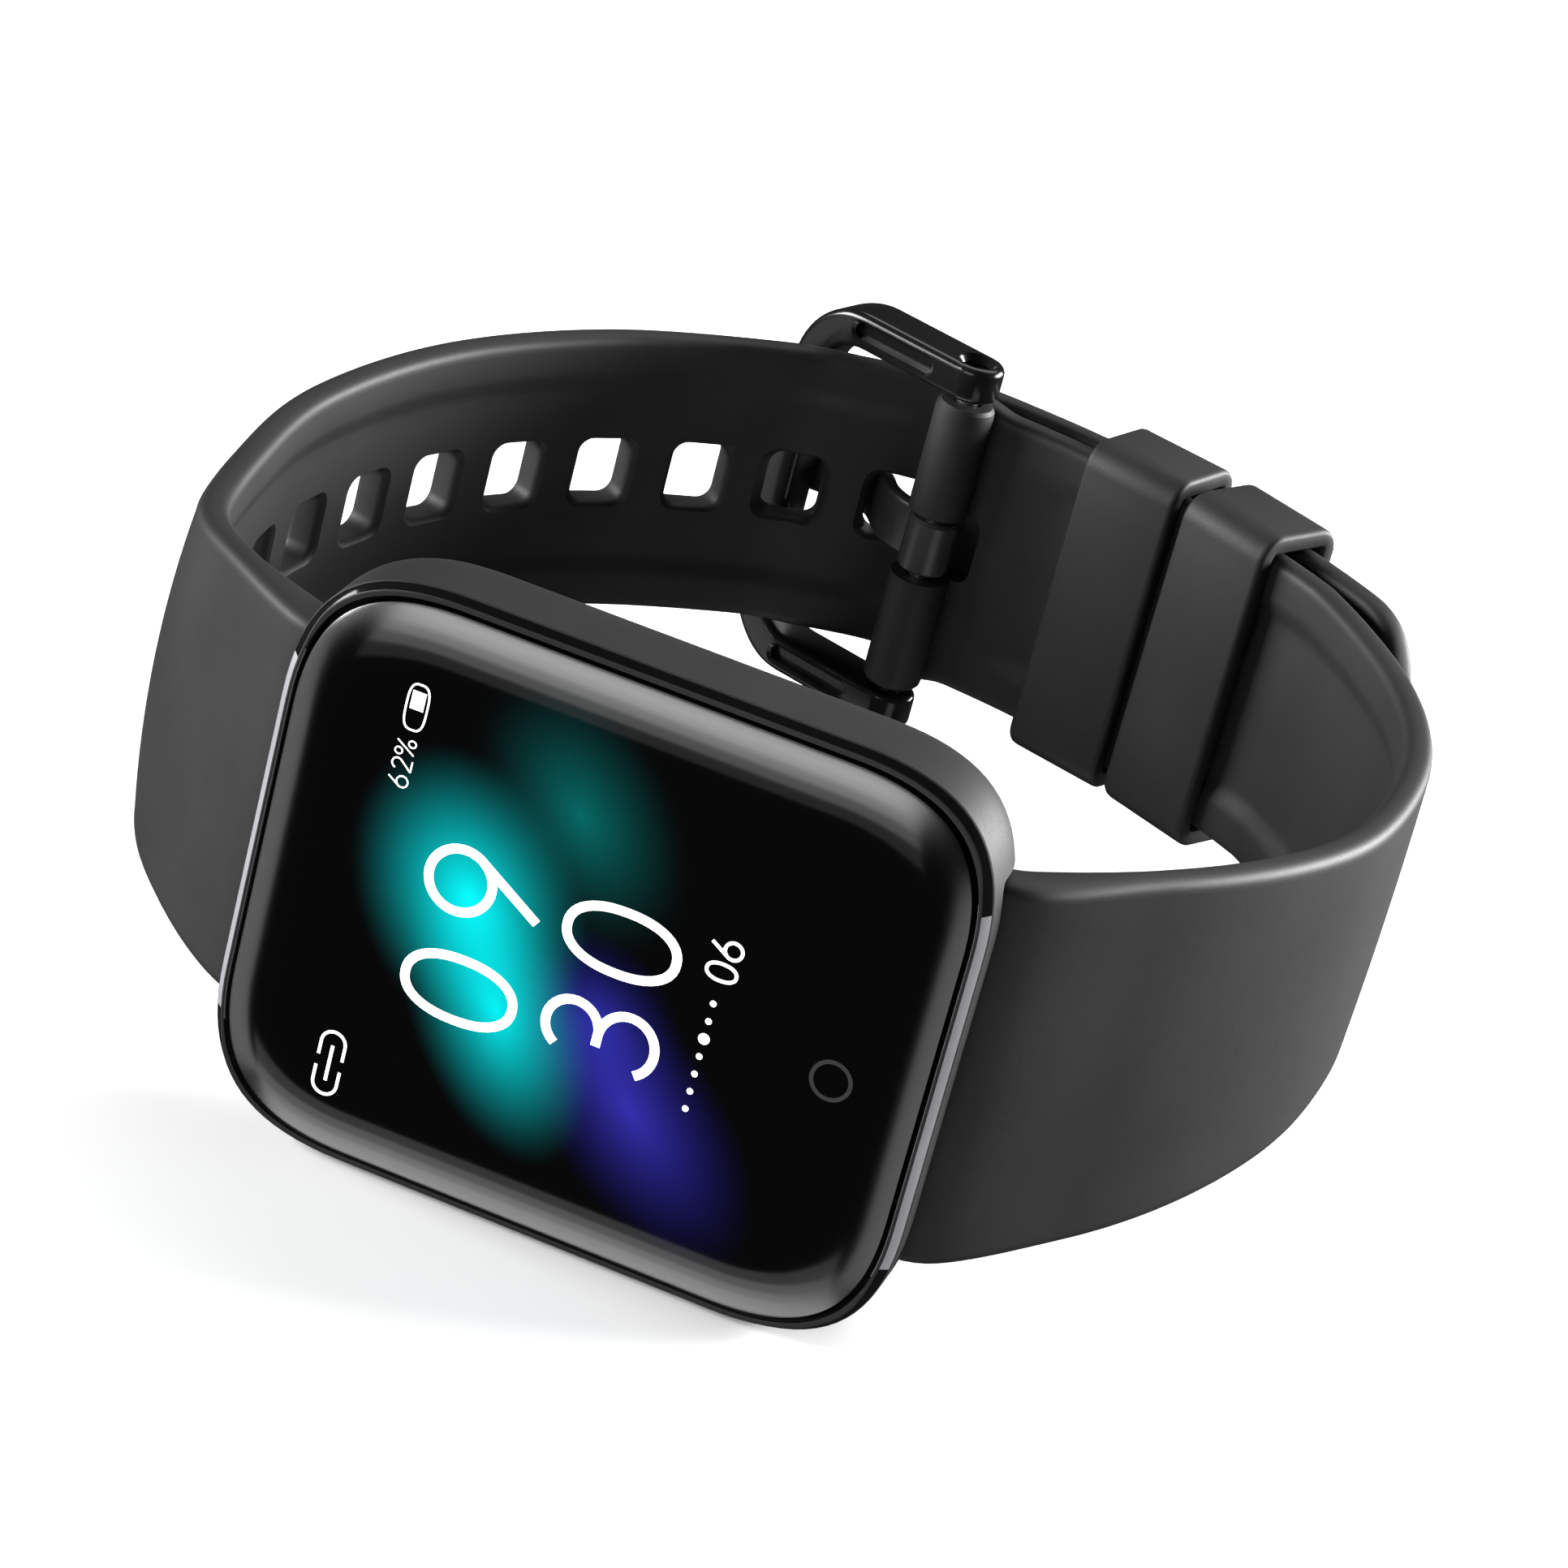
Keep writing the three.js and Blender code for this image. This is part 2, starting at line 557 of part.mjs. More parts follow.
for (const [side, hour] of [[-1, 12], [1, 6]]) {
  const x = side * LUG_X;
  add(`bar_tube_${hour}`, tubeZ(x, LUG_Y, BAR_RADIUS, BAR_INNER, -11.4, 7.4, 14), steel);
  add(`bar_pin_${hour}`, barZ(x, LUG_Y, BAR_PIN_RADIUS, -PIN_TIP_Z, -11.7, 10), steel);
  add(`bar_spring_${hour}`, springCoil(side), steel);
  add(`quick_pin_${hour}`, quickPin(side), steel);
}

// ---- buckle ----
function frameMatrix() {
  const a = THREE.MathUtils.degToRad(FRAME_TILT);
  const turn = new THREE.Matrix4().makeBasis(
    new THREE.Vector3(-Math.cos(a), Math.sin(a), 0), new THREE.Vector3(0, 0, 1),
    new THREE.Vector3(Math.sin(a), Math.cos(a), 0));
  return turn.setPosition(PIN.x, PIN.y, 0);
}

function shifted(shape, dx) {
  return new THREE.Shape(shape.getPoints(6).map((p) => new THREE.Vector2(p.x + dx, p.y)));
}

function buckleFrame() {
  const middle = (FRAME_END - FRAME_EAR) / 2;
  const half = (FRAME_END + FRAME_EAR) / 2;
  const outer = shifted(roundedRect(half, FRAME_HALF_Z, 3.6, 0.58), middle);
  const inset = 0.45;
  const ring = new THREE.ExtrudeGeometry(outer, {
    depth: FRAME_THICK - 2 * inset, bevelThickness: inset, bevelSize: inset, bevelOffset: -inset,
    bevelSegments: 2,
  });
  ring.translate(0, 0, -FRAME_THICK / 2 + inset);
  const windowEnd = FRAME_END - FRAME_BAR;
  const windowHalf = (windowEnd + 6) / 2;
  const window = new THREE.ExtrudeGeometry(
    shifted(roundedRect(windowHalf, FRAME_WINDOW_HALF_Z, 1.6, 0.58), windowEnd - windowHalf),
    { depth: 8, bevelEnabled: false });
  window.translate(0, 0, -4);
  ring.applyMatrix4(frameMatrix());
  window.applyMatrix4(frameMatrix());
  let frame = toSolid(ring).subtract(toSolid(window));
  frame = frame.add(frontBar());
  for (const side of [-1, 1]) {
    const z0 = side * FRAME_WINDOW_HALF_Z;
    const z1 = side * (FRAME_HALF_Z - 0.2);
    frame = frame.add(toSolid(barZ(PIN.x, PIN.y, FRAME_EAR, Math.min(z0, z1), Math.max(z0, z1), 24)));
  }
  return frame.subtract(toSolid(barZ(PIN.x, PIN.y, PIN_RADIUS + 0.25, -20, 20, 20)));
}

// The window above is open towards the pin; this closes nothing there, and rounds the front bar.
function frontBar() {
  const bar = new THREE.ExtrudeGeometry(
    shifted(roundedRect(FRAME_BAR / 2 - 0.25, FRAME_THICK / 2 + 0.05, 0.7, 0.55), 0),
    { depth: 2 * FRAME_WINDOW_HALF_Z + 1, bevelEnabled: false });
  const turn = new THREE.Matrix4().makeBasis(
    new THREE.Vector3(1, 0, 0), new THREE.Vector3(0, 0, -1), new THREE.Vector3(0, 1, 0));
  bar.applyMatrix4(turn);
  bar.translate(FRAME_END - FRAME_BAR / 2, -FRAME_WINDOW_HALF_Z - 0.5, 0);
  bar.applyMatrix4(frameMatrix());
  return toSolid(bar);
}

function tongueLine() {
  return [[PIN.x - 0.6, PIN.y + 1.15], [-5.5, 73.9], [-6.75, 75.15], [-7.9, 76.6], [-9.3, 77.5],
    [-12.2, 78.2], [-16.4, 78.2]];
}

function buckleTongue() {
  const line = splinePoints(tongueLine(), 20);
  let tongue = extrudeZ(stripShapeEven(line, TONGUE_THICK), TONGUE_HALF_Z);
  tongue = tongue.add(toSolid(barZ(PIN.x, PIN.y, TONGUE_BARREL, -TONGUE_HALF_Z, TONGUE_HALF_Z, 24)));
  return tongue.subtract(toSolid(barZ(PIN.x, PIN.y, PIN_RADIUS + GAP, -9, 9, 20)));
}

function stripShapeEven(line, thickness) {
  const left = [];
  const right = [];
  line.forEach((point, i) => {
    const before = line[Math.max(i - 1, 0)];
    const after = line[Math.min(i + 1, line.length - 1)];
    const normal = new THREE.Vector2(-(after.y - before.y), after.x - before.x).normalize();
    left.push(point.clone().addScaledVector(normal, thickness / 2));
    right.unshift(point.clone().addScaledVector(normal, -thickness / 2));
  });
  return new THREE.Shape([...left, ...right]);
}

add('buckle_pin', barZ(PIN.x, PIN.y, PIN_RADIUS, -PIN_HALF_Z, PIN_HALF_Z, 20), steel);
add('buckle_frame', buckleFrame(), polishedMetal);
add('buckle_tongue', buckleTongue(), polishedMetal);

// ---- keepers ----
function keeper(degrees) {
  const half = KEEPER_DEPTH / 2;
  const outer = new THREE.ExtrudeGeometry(roundedRect(half, KEEPER_HALF_Z, 1.9, 0.55), {
    depth: KEEPER_LENGTH - 0.5, bevelThickness: 0.25, bevelSize: 0.25, bevelOffset: -0.25,
    bevelSegments: 1, curveSegments: 5,
  });
  outer.translate(0, 0, -KEEPER_LENGTH / 2 + 0.25);
  const inner = new THREE.ExtrudeGeometry(
    roundedRect(half - KEEPER_WALL, KEEPER_HALF_Z - KEEPER_WALL, 0.4, 0.55),
    { depth: 20, bevelEnabled: false, curveSegments: 3 });
  inner.translate(0, 0, -10);
  const loop = toGeometry(toSolid(outer).subtract(toSolid(inner)));
  const a = THREE.MathUtils.degToRad(degrees);
  const turn = new THREE.Matrix4().makeBasis(
    new THREE.Vector3(Math.cos(a), Math.sin(a), 0), new THREE.Vector3(0, 0, 1),
    new THREE.Vector3(Math.sin(a), -Math.cos(a), 0));
  const centre = arcPoint(KEEPER_FRONT_RADIUS + half, degrees);
  turn.setPosition(centre.x, centre.y, 0);
  loop.applyMatrix4(turn);
  return loop;
}

KEEPER_ANGLES.forEach((degrees, i) => add(`keeper_${i + 1}`, keeper(degrees), silicone));

// ---- origin at the centre of the base ----
const bounds = new THREE.Box3().setFromObject(group);
const centre = bounds.getCenter(new THREE.Vector3());
group.position.set(-centre.x, -centre.y, -bounds.min.z);

export default group;
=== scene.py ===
import json
import math
import bpy
import bmesh
import numpy as np
from mathutils import Matrix, Vector


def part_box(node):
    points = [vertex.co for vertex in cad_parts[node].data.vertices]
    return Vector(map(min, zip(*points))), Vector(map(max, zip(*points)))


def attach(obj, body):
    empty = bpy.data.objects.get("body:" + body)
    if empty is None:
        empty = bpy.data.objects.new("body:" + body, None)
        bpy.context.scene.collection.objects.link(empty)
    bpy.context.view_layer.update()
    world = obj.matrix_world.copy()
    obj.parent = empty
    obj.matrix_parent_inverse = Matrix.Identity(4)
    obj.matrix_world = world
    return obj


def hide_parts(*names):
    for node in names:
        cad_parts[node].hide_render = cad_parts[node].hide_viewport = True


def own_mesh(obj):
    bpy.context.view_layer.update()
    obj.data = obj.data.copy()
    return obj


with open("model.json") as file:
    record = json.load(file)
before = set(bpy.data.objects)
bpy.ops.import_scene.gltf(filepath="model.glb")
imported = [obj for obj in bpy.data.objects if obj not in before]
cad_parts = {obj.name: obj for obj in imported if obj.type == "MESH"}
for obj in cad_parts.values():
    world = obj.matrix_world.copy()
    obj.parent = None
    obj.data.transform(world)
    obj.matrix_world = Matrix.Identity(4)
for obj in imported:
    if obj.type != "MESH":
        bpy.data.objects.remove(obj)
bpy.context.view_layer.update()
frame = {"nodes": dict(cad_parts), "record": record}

# ---- driving dimensions, in mm ----
# They are measured from the middle of the case, with y = 0 on the rim round the glass.
MM = 0.001
CORNER_PULL = 0.7                    # handle length of a corner curve; 0.55 would be an arc
CASE_HALF_X = 20.9
CASE_HALF_Z = 18.0
CASE_CORNER = 9.4
CASE_BACK_Y = 8.6
GLASS_HALF_X = 19.92
GLASS_HALF_Z = 17.12
GLASS_CORNER = 8.75
GLASS_FRONT_Y = -0.9
EDGE_WIDTH = 4.1                     # curved edge of the lens
GLASS_BACK_Y = 0.45
LENS_DEPTH = 0.86                    # how far the lens's rim lies behind its front
LENS_CURVE = 2.3                     # 2 would be a parabola
INK_BASE_Y = GLASS_FRONT_Y - 0.01
INK_TOP_Y = GLASS_FRONT_Y - 0.035
SCREEN_Y = 0.75
LUG_X = 18.5
LUG_Y = 4.3
SLOT_HALF_Z = 12.5
SLOT_Y = 2.25
COVER_Y = 8.85
SCREW_X = 13.9
SCREW_Z = 11.65
CONTACT_X = 1.5
CONTACT_Z = 10.9
LENS_PLACES = ((-3.1, 1.2, 2.04), (0.0, 1.5, 2.12), (3.1, 1.2, 2.04))   # x, radius, height
PAINTED_REFLECTION_HALF_Z = 11.5                   # painted reflection: bright metal on the chamfer along the 12 and 6 o'clock edges

STRAP_THICK = 2.0
STRAP_HALF = 10.0
STRAP_LUG_HALF = 12.2
LONG_ROUTE = [(-18.5, 4.3), (-21.6, 4.7), (-28.0, 9.5), (-32.8, 16.1), (-35.0, 26.1), (-35.7, 38.2),
              (-32.6, 51.8), (-25.7, 63.5), (-16.3, 71.9), (-11.5, 74.2), (-6.4, 76.1)]
SHORT_ROUTE = [(18.5, 4.3), (21.8, 5.0), (28.6, 13.7), (33.2, 23.0), (35.4, 32.4), (35.1, 44.0),
               (31.4, 54.2)]
LONG_TAPER_Y = 22.0                  # where each strap stops narrowing
SHORT_TAPER_Y = 38.0
BAND_MIDDLE = (0.0, 38.0)
CLASP_CENTRE = (-6.8, 21.6)          # both straps are arcs about it at the clasp
LONG_RADIUS = 55.0
SHORT_RADIUS = 52.35
HOLE_COUNT = 10
HOLE_PITCH = 7.1
FIRST_HOLE = 6.3                     # from the arc's start back to the tongue's hole
LIP = 1.7                            # width of the slope down into a strap's recess
HOLE_RECESS = 0.4                    # recess and crown round the holes
HOLE_CROWN = 0.75
PLAIN_CROWN = 0.15                   # crown elsewhere
RECESS_BORDER = 2.4
STRAP_TIP = 6.5                      # length of the rounded tip
KNUCKLE_RADIUS = 1.7
BORE_RADIUS = 1.05

PIN = (-3.5, 71.9)
ROLL_RADIUS = 2.0
ROLL_END = 10.5
ARM_INNER = 10.9                     # buckle arms, from their inner face to their outer face
ARM_OUTER = 13.4
ARM_HALF_DEPTH = 1.9
BAR_HALF_DEPTH = 1.45
LOOP_REACH = 12.3                    # from the pin to the middle of the front bar
FRAME_TILT = 19.6                    # degrees
PIN_HOLE = 1.0
TONGUE_HALF = 1.9
KEEPER_ANGLES = (71.6, 62.4)         # places on the clasp's arc, in degrees
KEEPER_INNER = 49.9                  # from the clasp centre to a keeper's wrist side
KEEPER_DEPTH = 7.5
KEEPER_HALF_Z = 11.45
KEEPER_LENGTH = 7.2
KEEPER_WALL = 1.25

# ---- camera ----
CAMERA_PLACE = (64.8, -244.07, 133.95)
CAMERA_RIGHT = (0.9152, 0.3278, 0.2343)
CAMERA_UP = (-0.3471, 0.3458, 0.8717)
CAMERA_LENS = 119.7


def frame_shift():
    """Where the drawing's origin lies in the frame, taken from the buckle pin's CAD box."""
    low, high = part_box("buckle_pin")
    mid = (low + high) / 2
    return Vector((mid.x - PIN[0] * MM, mid.y - PIN[1] * MM, mid.z))


SHIFT = frame_shift()


def at(x, y, z):
    """Place in the frame, in metres, of a point of the drawing in mm."""
    return Vector((x * MM, y * MM, z * MM)) + SHIFT


def make_camera():
    data = bpy.data.cameras.new("camera")
    data.lens = CAMERA_LENS
    data.sensor_width = 36.0
    data.clip_start = 0.01
    data.clip_end = 20.0
    camera = bpy.data.objects.new("camera", data)
    bpy.context.scene.collection.objects.link(camera)
    right = Vector(CAMERA_RIGHT).normalized()
    up = Vector(CAMERA_UP).normalized()
    back = right.cross(up).normalized()
    up = back.cross(right)
    turn = Matrix((right, up, back)).transposed()
    camera.matrix_world = Matrix.Translation(at(*CAMERA_PLACE)) @ turn.to_4x4()
    bpy.context.scene.camera = camera


make_camera()


# ---- mesh helpers ----
def to_object(name, bm, sharp=35.0):
    """Object from a bmesh in mm; edges sharper than the angle stay sharp in the shading."""
    bmesh.ops.recalc_face_normals(bm, faces=bm.faces)
    for vert in bm.verts:
        vert.co = at(*vert.co)
    for face in bm.faces:
        face.smooth = True
    limit = math.radians(sharp)
    for edge in bm.edges:
        edge.smooth = len(edge.link_faces) == 2 and edge.calc_face_angle(0.0) < limit
    mesh = bpy.data.meshes.new(name)
    bm.to_mesh(mesh)
    bm.free()
    obj = bpy.data.objects.new(name, mesh)
    bpy.context.scene.collection.objects.link(obj)
    return obj


def loft(rings, loop=False, caps=True):
    """bmesh through a list of rings with equal numbers of points, each closed on itself."""
    bm = bmesh.new()
    rows = [[bm.verts.new(tuple(p)) for p in ring] for ring in rings]
    count = len(rows[0])
    pairs = list(zip(rows, rows[1:]))
    if loop:
        pairs.append((rows[-1], rows[0]))
    for first, second in pairs:
        for i in range(count):
            j = (i + 1) % count
            bm.faces.new((first[i], first[j], second[j], second[i]))
    if caps and not loop:
        bm.faces.new(rows[0])
        bm.faces.new(rows[-1])
    bmesh.ops.recalc_face_normals(bm, faces=bm.faces)
    return bm


def corner_curve(start, corner, end, pull, steps):
    """Points of a soft corner from start to end, both pulled towards the corner point."""
    points = []
    for i in range(steps + 1):
        t = i / steps
        a = (1 - t) ** 3
        b = 3 * (1 - t) ** 2 * t
        c = 3 * (1 - t) * t ** 2
        d = t ** 3
        first = [s + (k - s) * pull for s, k in zip(start, corner)]
        last = [e + (k - e) * pull for e, k in zip(end, corner)]
        points.append([a * s + b * f + c * l + d * e for s, f, l, e in zip(start, first, last, end)])
    return points


def rounded_rect(half_a, half_b, corner, pull=CORNER_PULL, steps=14, side=6):
    """Outline of a rectangle with soft corners, as (a, b) pairs; always the same number of points."""
    corner = max(corner, 0.02)
    points = []
    for sa, sb in ((1, -1), (1, 1), (-1, 1), (-1, -1)):
        if sa * sb < 0:
            start = (sa * (half_a - corner), sb * half_b)
            end = (sa * half_a, sb * (half_b - corner))
        else:
            start = (sa * half_a, sb * (half_b - corner))
            end = (sa * (half_a - corner), sb * half_b)
        curve = corner_curve(start, (sa * half_a, sb * half_b), end, pull, steps)
        if points:
            points += straight(points[-1], curve[0], side)
        points += curve
    points += straight(points[-1], points[0], side)
    return points


def straight(start, end, count):
    """Points between start and end, both left out."""
    return [[s + (e - s) * i / count for s, e in zip(start, end)] for i in range(1, count)]


def slab_rings(half_x, half_z, corner, profile, pull=CORNER_PULL, **kw):
    """Rings of a rounded rectangle seen from the display; profile is a list of (inset, y)."""
    rings = []
    for inset, y in profile:
        outline = rounded_rect(half_x - inset, half_z - inset, corner - inset, pull, **kw)
        rings.append([(x, y, z) for x, z in outline])
    return rings


def box_bm(x0, x1, y0, y1, z0, z1):
    bm = bmesh.new()
    bmesh.ops.create_cube(bm, size=1.0)
    for v in bm.verts:
        v.co = (x0 + (v.co.x + 0.5) * (x1 - x0), y0 + (v.co.y + 0.5) * (y1 - y0),
                z0 + (v.co.z + 0.5) * (z1 - z0))
    return bm


def lathe_rings(profile, sides):
    """Rings about the local third axis; profile is a list of (radius, height)."""
    rings = []
    for radius, height in profile:
        ring = []
        for i in range(sides):
            a = 2 * math.pi * i / sides
            ring.append((radius * math.cos(a), radius * math.sin(a), height))
        rings.append(ring)
    return rings


def turned_z(x, y, profile, sides=48):
    """Turned solid about a line along Z through x, y."""
    rings = lathe_rings(profile, sides)
    return loft([[(x + a, y + b, h) for a, b, h in ring] for ring in rings])


def turned_y(x, z, profile, sides=48):
    """Turned solid about a line along Y through x, z."""
    rings = lathe_rings(profile, sides)
    return loft([[(x + a, h, z + b) for a, b, h in ring] for ring in rings])


def place(bm, origin, u, v, w):
    """Moves a bmesh made in local u, v, w directions to its origin."""
    turn = Matrix((Vector(u), Vector(v), Vector(w))).transposed().to_4x4()
    turn.translation = Vector(origin)
    bmesh.ops.transform(bm, matrix=turn, verts=bm.verts)
    return bm


def joined(*parts):
    """One bmesh that holds several separate shells."""
    mesh = bpy.data.meshes.new("join")
    out = bmesh.new()
    for part in parts:
        part.to_mesh(mesh)
        out.from_mesh(mesh)
        part.free()
    bpy.data.meshes.remove(mesh)
    return out


def cut(base, tool, operation="DIFFERENCE"):
    """Boolean of two closed bmeshes in mm."""
    objects = []
    for bm in (base, tool):
        bmesh.ops.recalc_face_normals(bm, faces=bm.faces)
        mesh = bpy.data.meshes.new("cut")
        bm.to_mesh(mesh)
        bm.free()
        obj = bpy.data.objects.new("cut", mesh)
        bpy.context.scene.collection.objects.link(obj)
        objects.append(obj)
    modifier = objects[0].modifiers.new("cut", "BOOLEAN")
    modifier.operation = operation
    modifier.object = objects[1]
    modifier.solver = "EXACT"
    graph = bpy.context.evaluated_depsgraph_get()
    result = bmesh.new()
    result.from_object(objects[0], graph)
    for obj in objects:
        mesh = obj.data
        bpy.data.objects.remove(obj)
        bpy.data.meshes.remove(mesh)
    bmesh.ops.remove_doubles(result, verts=result.verts, dist=0.0005)
    return result


# ---- materials ----
def new_material(name, color, roughness, metallic=0.0, **extra):
    material = bpy.data.materials.new(name)
    material.use_nodes = True
    shader = material.node_tree.nodes["Principled BSDF"]
    shader.inputs["Base Color"].default_value = (*color, 1.0)
    shader.inputs["Roughness"].default_value = roughness
    shader.inputs["Metallic"].default_value = metallic
    for key, value in extra.items():
        shader.inputs[key.replace("_", " ")].default_value = value
    return material, material.node_tree, shader


def add_noise(tree, scale, detail=3.0):
    """Noise in the object's own space; scale is in features per metre."""
    coords = tree.nodes.new("ShaderNodeTexCoord")
    noise = tree.nodes.new("ShaderNodeTexNoise")
    noise.inputs["Scale"].default_value = scale
    noise.inputs["Detail"].default_value = detail
    tree.links.new(coords.outputs["Object"], noise.inputs["Vector"])
    return noise


def vary_color(tree, shader, noise, low, high):
    ramp = tree.nodes.new("ShaderNodeValToRGB")
    ramp.color_ramp.elements[0].position = 0.35
    ramp.color_ramp.elements[0].color = (*low, 1.0)
    ramp.color_ramp.elements[1].position = 0.65
    ramp.color_ramp.elements[1].color = (*high, 1.0)
    tree.links.new(noise.outputs["Fac"], ramp.inputs["Fac"])
    tree.links.new(ramp.outputs["Color"], shader.inputs["Base Color"])


def vary_roughness(tree, shader, noise, low, high):
    spread = tree.nodes.new("ShaderNodeMapRange")
    spread.inputs["From Min"].default_value = 0.3
    spread.inputs["From Max"].default_value = 0.7
    spread.inputs["To Min"].default_value = low
    spread.inputs["To Max"].default_value = high
    tree.links.new(noise.outputs["Fac"], spread.inputs["Value"])
    tree.links.new(spread.outputs["Result"], shader.inputs["Roughness"])


def add_bump(tree, shader, noise, strength, distance):
    bump = tree.nodes.new("ShaderNodeBump")
    bump.inputs["Strength"].default_value = strength
    bump.inputs["Distance"].default_value = distance
    tree.links.new(noise.outputs["Fac"], bump.inputs["Height"])
    tree.links.new(bump.outputs["Normal"], shader.inputs["Normal"])


def grained(name, low, high, rough, metallic, grain_scale, bump, **extra):
    """Material with colour drift, uneven gloss and a fine grain; low and high are colours."""
    material, tree, shader = new_material(name, low, rough[0], metallic, **extra)
    drift = add_noise(tree, 120.0, 4.0)
    vary_color(tree, shader, drift, low, high)
    grain = add_noise(tree, grain_scale, 2.0)
    vary_roughness(tree, shader, grain, *rough)
    if bump:
        add_bump(tree, shader, grain, bump, 0.00002)
    return material


def grey(value, blue=1.05):
    return (value, value, value * blue)


def build_materials():
    """Materials by record slot, with three more: cut and gloss on the case, which are a
    painted-reflection copy and a painted-shade copy of the chamfer, and satin on the tongue.
    """
    made = {}
    made["band"] = grained("silicone", grey(0.0105), grey(0.013), (0.52, 0.6), 0.0, 9000.0, 0.25,
                           Specular_IOR_Level=0.2)
    made["case"] = grained("coated_metal", grey(0.013), grey(0.017), (0.52, 0.60), 0.1, 7000.0, 0.15,
                           Specular_IOR_Level=0.16)
    # The next two are one cut chamfer in a lit and a shaded copy, as painted light: bright metal is a
    # painted reflection, black gloss is painted shade.
    made["cut"] = grained("chamfer_painted_reflection", grey(0.27), grey(0.31), (0.38, 0.46), 0.5, 4000.0, 0.05)
    made["gloss"] = grained("chamfer_painted_shade", grey(0.003), grey(0.004), (0.08, 0.12), 0.0, 4000.0, 0.0,
                            Specular_IOR_Level=0.12)
    made["buckle"] = grained("polished_black", grey(0.004), grey(0.006), (0.16, 0.22), 0.0, 3000.0, 0.05,
                             Specular_IOR_Level=0.28)
    made["satin"] = grained("satin_black", grey(0.018), grey(0.023), (0.34, 0.40), 0.0, 5000.0, 0.08)
    made["back"] = grained("back_plastic", grey(0.016), grey(0.020), (0.35, 0.45), 0.0, 8000.0, 0.2)
    made["seal"] = grained("seal_rubber", grey(0.006), grey(0.009), (0.5, 0.6), 0.0, 6000.0, 0.2)
    made["steel"] = grained("turned_steel", grey(0.50), grey(0.58), (0.22, 0.32), 1.0, 9000.0, 0.1)
    made["contact"] = grained("gold_plate", (0.78, 0.55, 0.24), (0.84, 0.62, 0.30), (0.18, 0.26), 1.0,
                              6000.0, 0.05)
    made["foil"] = grained("foil", grey(0.52), grey(0.60), (0.25, 0.45), 1.0, 1500.0, 0.5)
    made["chip"] = grained("chip_package", grey(0.018), grey(0.026), (0.45, 0.6), 0.0, 9000.0, 0.3)
    made["board"] = grained("circuit_board", (0.010, 0.09, 0.04), (0.016, 0.13, 0.06), (0.25, 0.4), 0.0,
                            2500.0, 0.2)
    made["led"] = grained("led_resin", (0.26, 0.30, 0.25), (0.34, 0.38, 0.32), (0.15, 0.25), 0.0,
                          3000.0, 0.0)
    made["window"] = grained("tinted_window", grey(0.004), grey(0.006), (0.05, 0.08), 0.0, 2000.0, 0.0)
    return made


MATERIALS = build_materials()
NODE_SLOTS = {entry["node"]: entry["material_slot"] for entry in frame["record"]["subparts"]}


def dress(obj, slot, body, *nodes, material=None):
    """Gives a piece its material, picked by record slot unless one is given, and its body, and hides the
    CAD nodes that it stands for.
    """
    obj.data.materials.clear()
    obj.data.materials.append(material or MATERIALS[slot])
    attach(obj, body)
    if nodes:
        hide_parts(*nodes)
    return obj


def dress_cad_nodes():
    """Materials for the CAD nodes that stay; glass and display nodes are all replaced below."""
    for name, obj in frame["nodes"].items():
        slot = NODE_SLOTS[name]
        material = MATERIALS.get(slot) or MATERIALS["window"]
        obj.data.materials.clear()
        obj.data.materials.append(material)


dress_cad_nodes()


# ---- band ----
def catmull(points, per):
    """Uniform Catmull-Rom curve through 2-D points, with per points in each stretch."""
    out = []
    last = len(points) - 1
    for i in range(last):
        p0 = np.array(points[max(i - 1, 0)])
        p1 = np.array(points[i])
        p2 = np.array(points[i + 1])
        p3 = np.array(points[min(i + 2, last)])
        for k in range(per):
            t = k / per
            v0 = (p2 - p0) * 0.5
            v1 = (p3 - p1) * 0.5
            cubic = (2 * p1 - 2 * p2 + v0 + v1) * t ** 3 + (-3 * p1 + 3 * p2 - 2 * v0 - v1) * t ** 2
            out.append(cubic + v0 * t + p1)
    out.append(np.array(points[-1]))
    return out


def arc_point(radius, degrees):
    """Point at an angle on an arc about the clasp centre."""
    a = math.radians(degrees)
    return np.array((CLASP_CENTRE[0] + radius * math.cos(a), CLASP_CENTRE[1] + radius * math.sin(a)))


def centre_line(route, radius, arc_from, arc_to, spacing=0.5):
    """Centre line of a strap in even steps: the free route, then an arc about the clasp centre.
    Also gives the run at each point, and the run at which the arc starts."""
    guide = arc_point(radius, arc_from + (arc_to - arc_from) / 4)
    knots = [np.array(p) for p in route] + [arc_point(radius, arc_from), guide]
    free = catmull(knots, 24)[:-25]
    arc = [arc_point(radius, arc_from + (arc_to - arc_from) * i / 160) for i in range(161)]
    line = np.array(free + arc)
    steps = np.linalg.norm(np.diff(line, axis=0), axis=1)
    keep = np.concatenate(([True], steps > 1e-6))
    line = line[keep]
    runs = np.concatenate(([0], np.cumsum(np.linalg.norm(np.diff(line, axis=0), axis=1))))
    start_run = runs[len(free)]
    even = np.linspace(0, runs[-1], int(runs[-1] / spacing) + 1)
    spaced = np.stack([np.interp(even, runs, line[:, 0]), np.interp(even, runs, line[:, 1])], 1)
    return spaced, even, start_run


def smoothstep(value, low, high):
    t = min(max((value - low) / (high - low), 0.0), 1.0)
    return t * t * (3 - 2 * t)


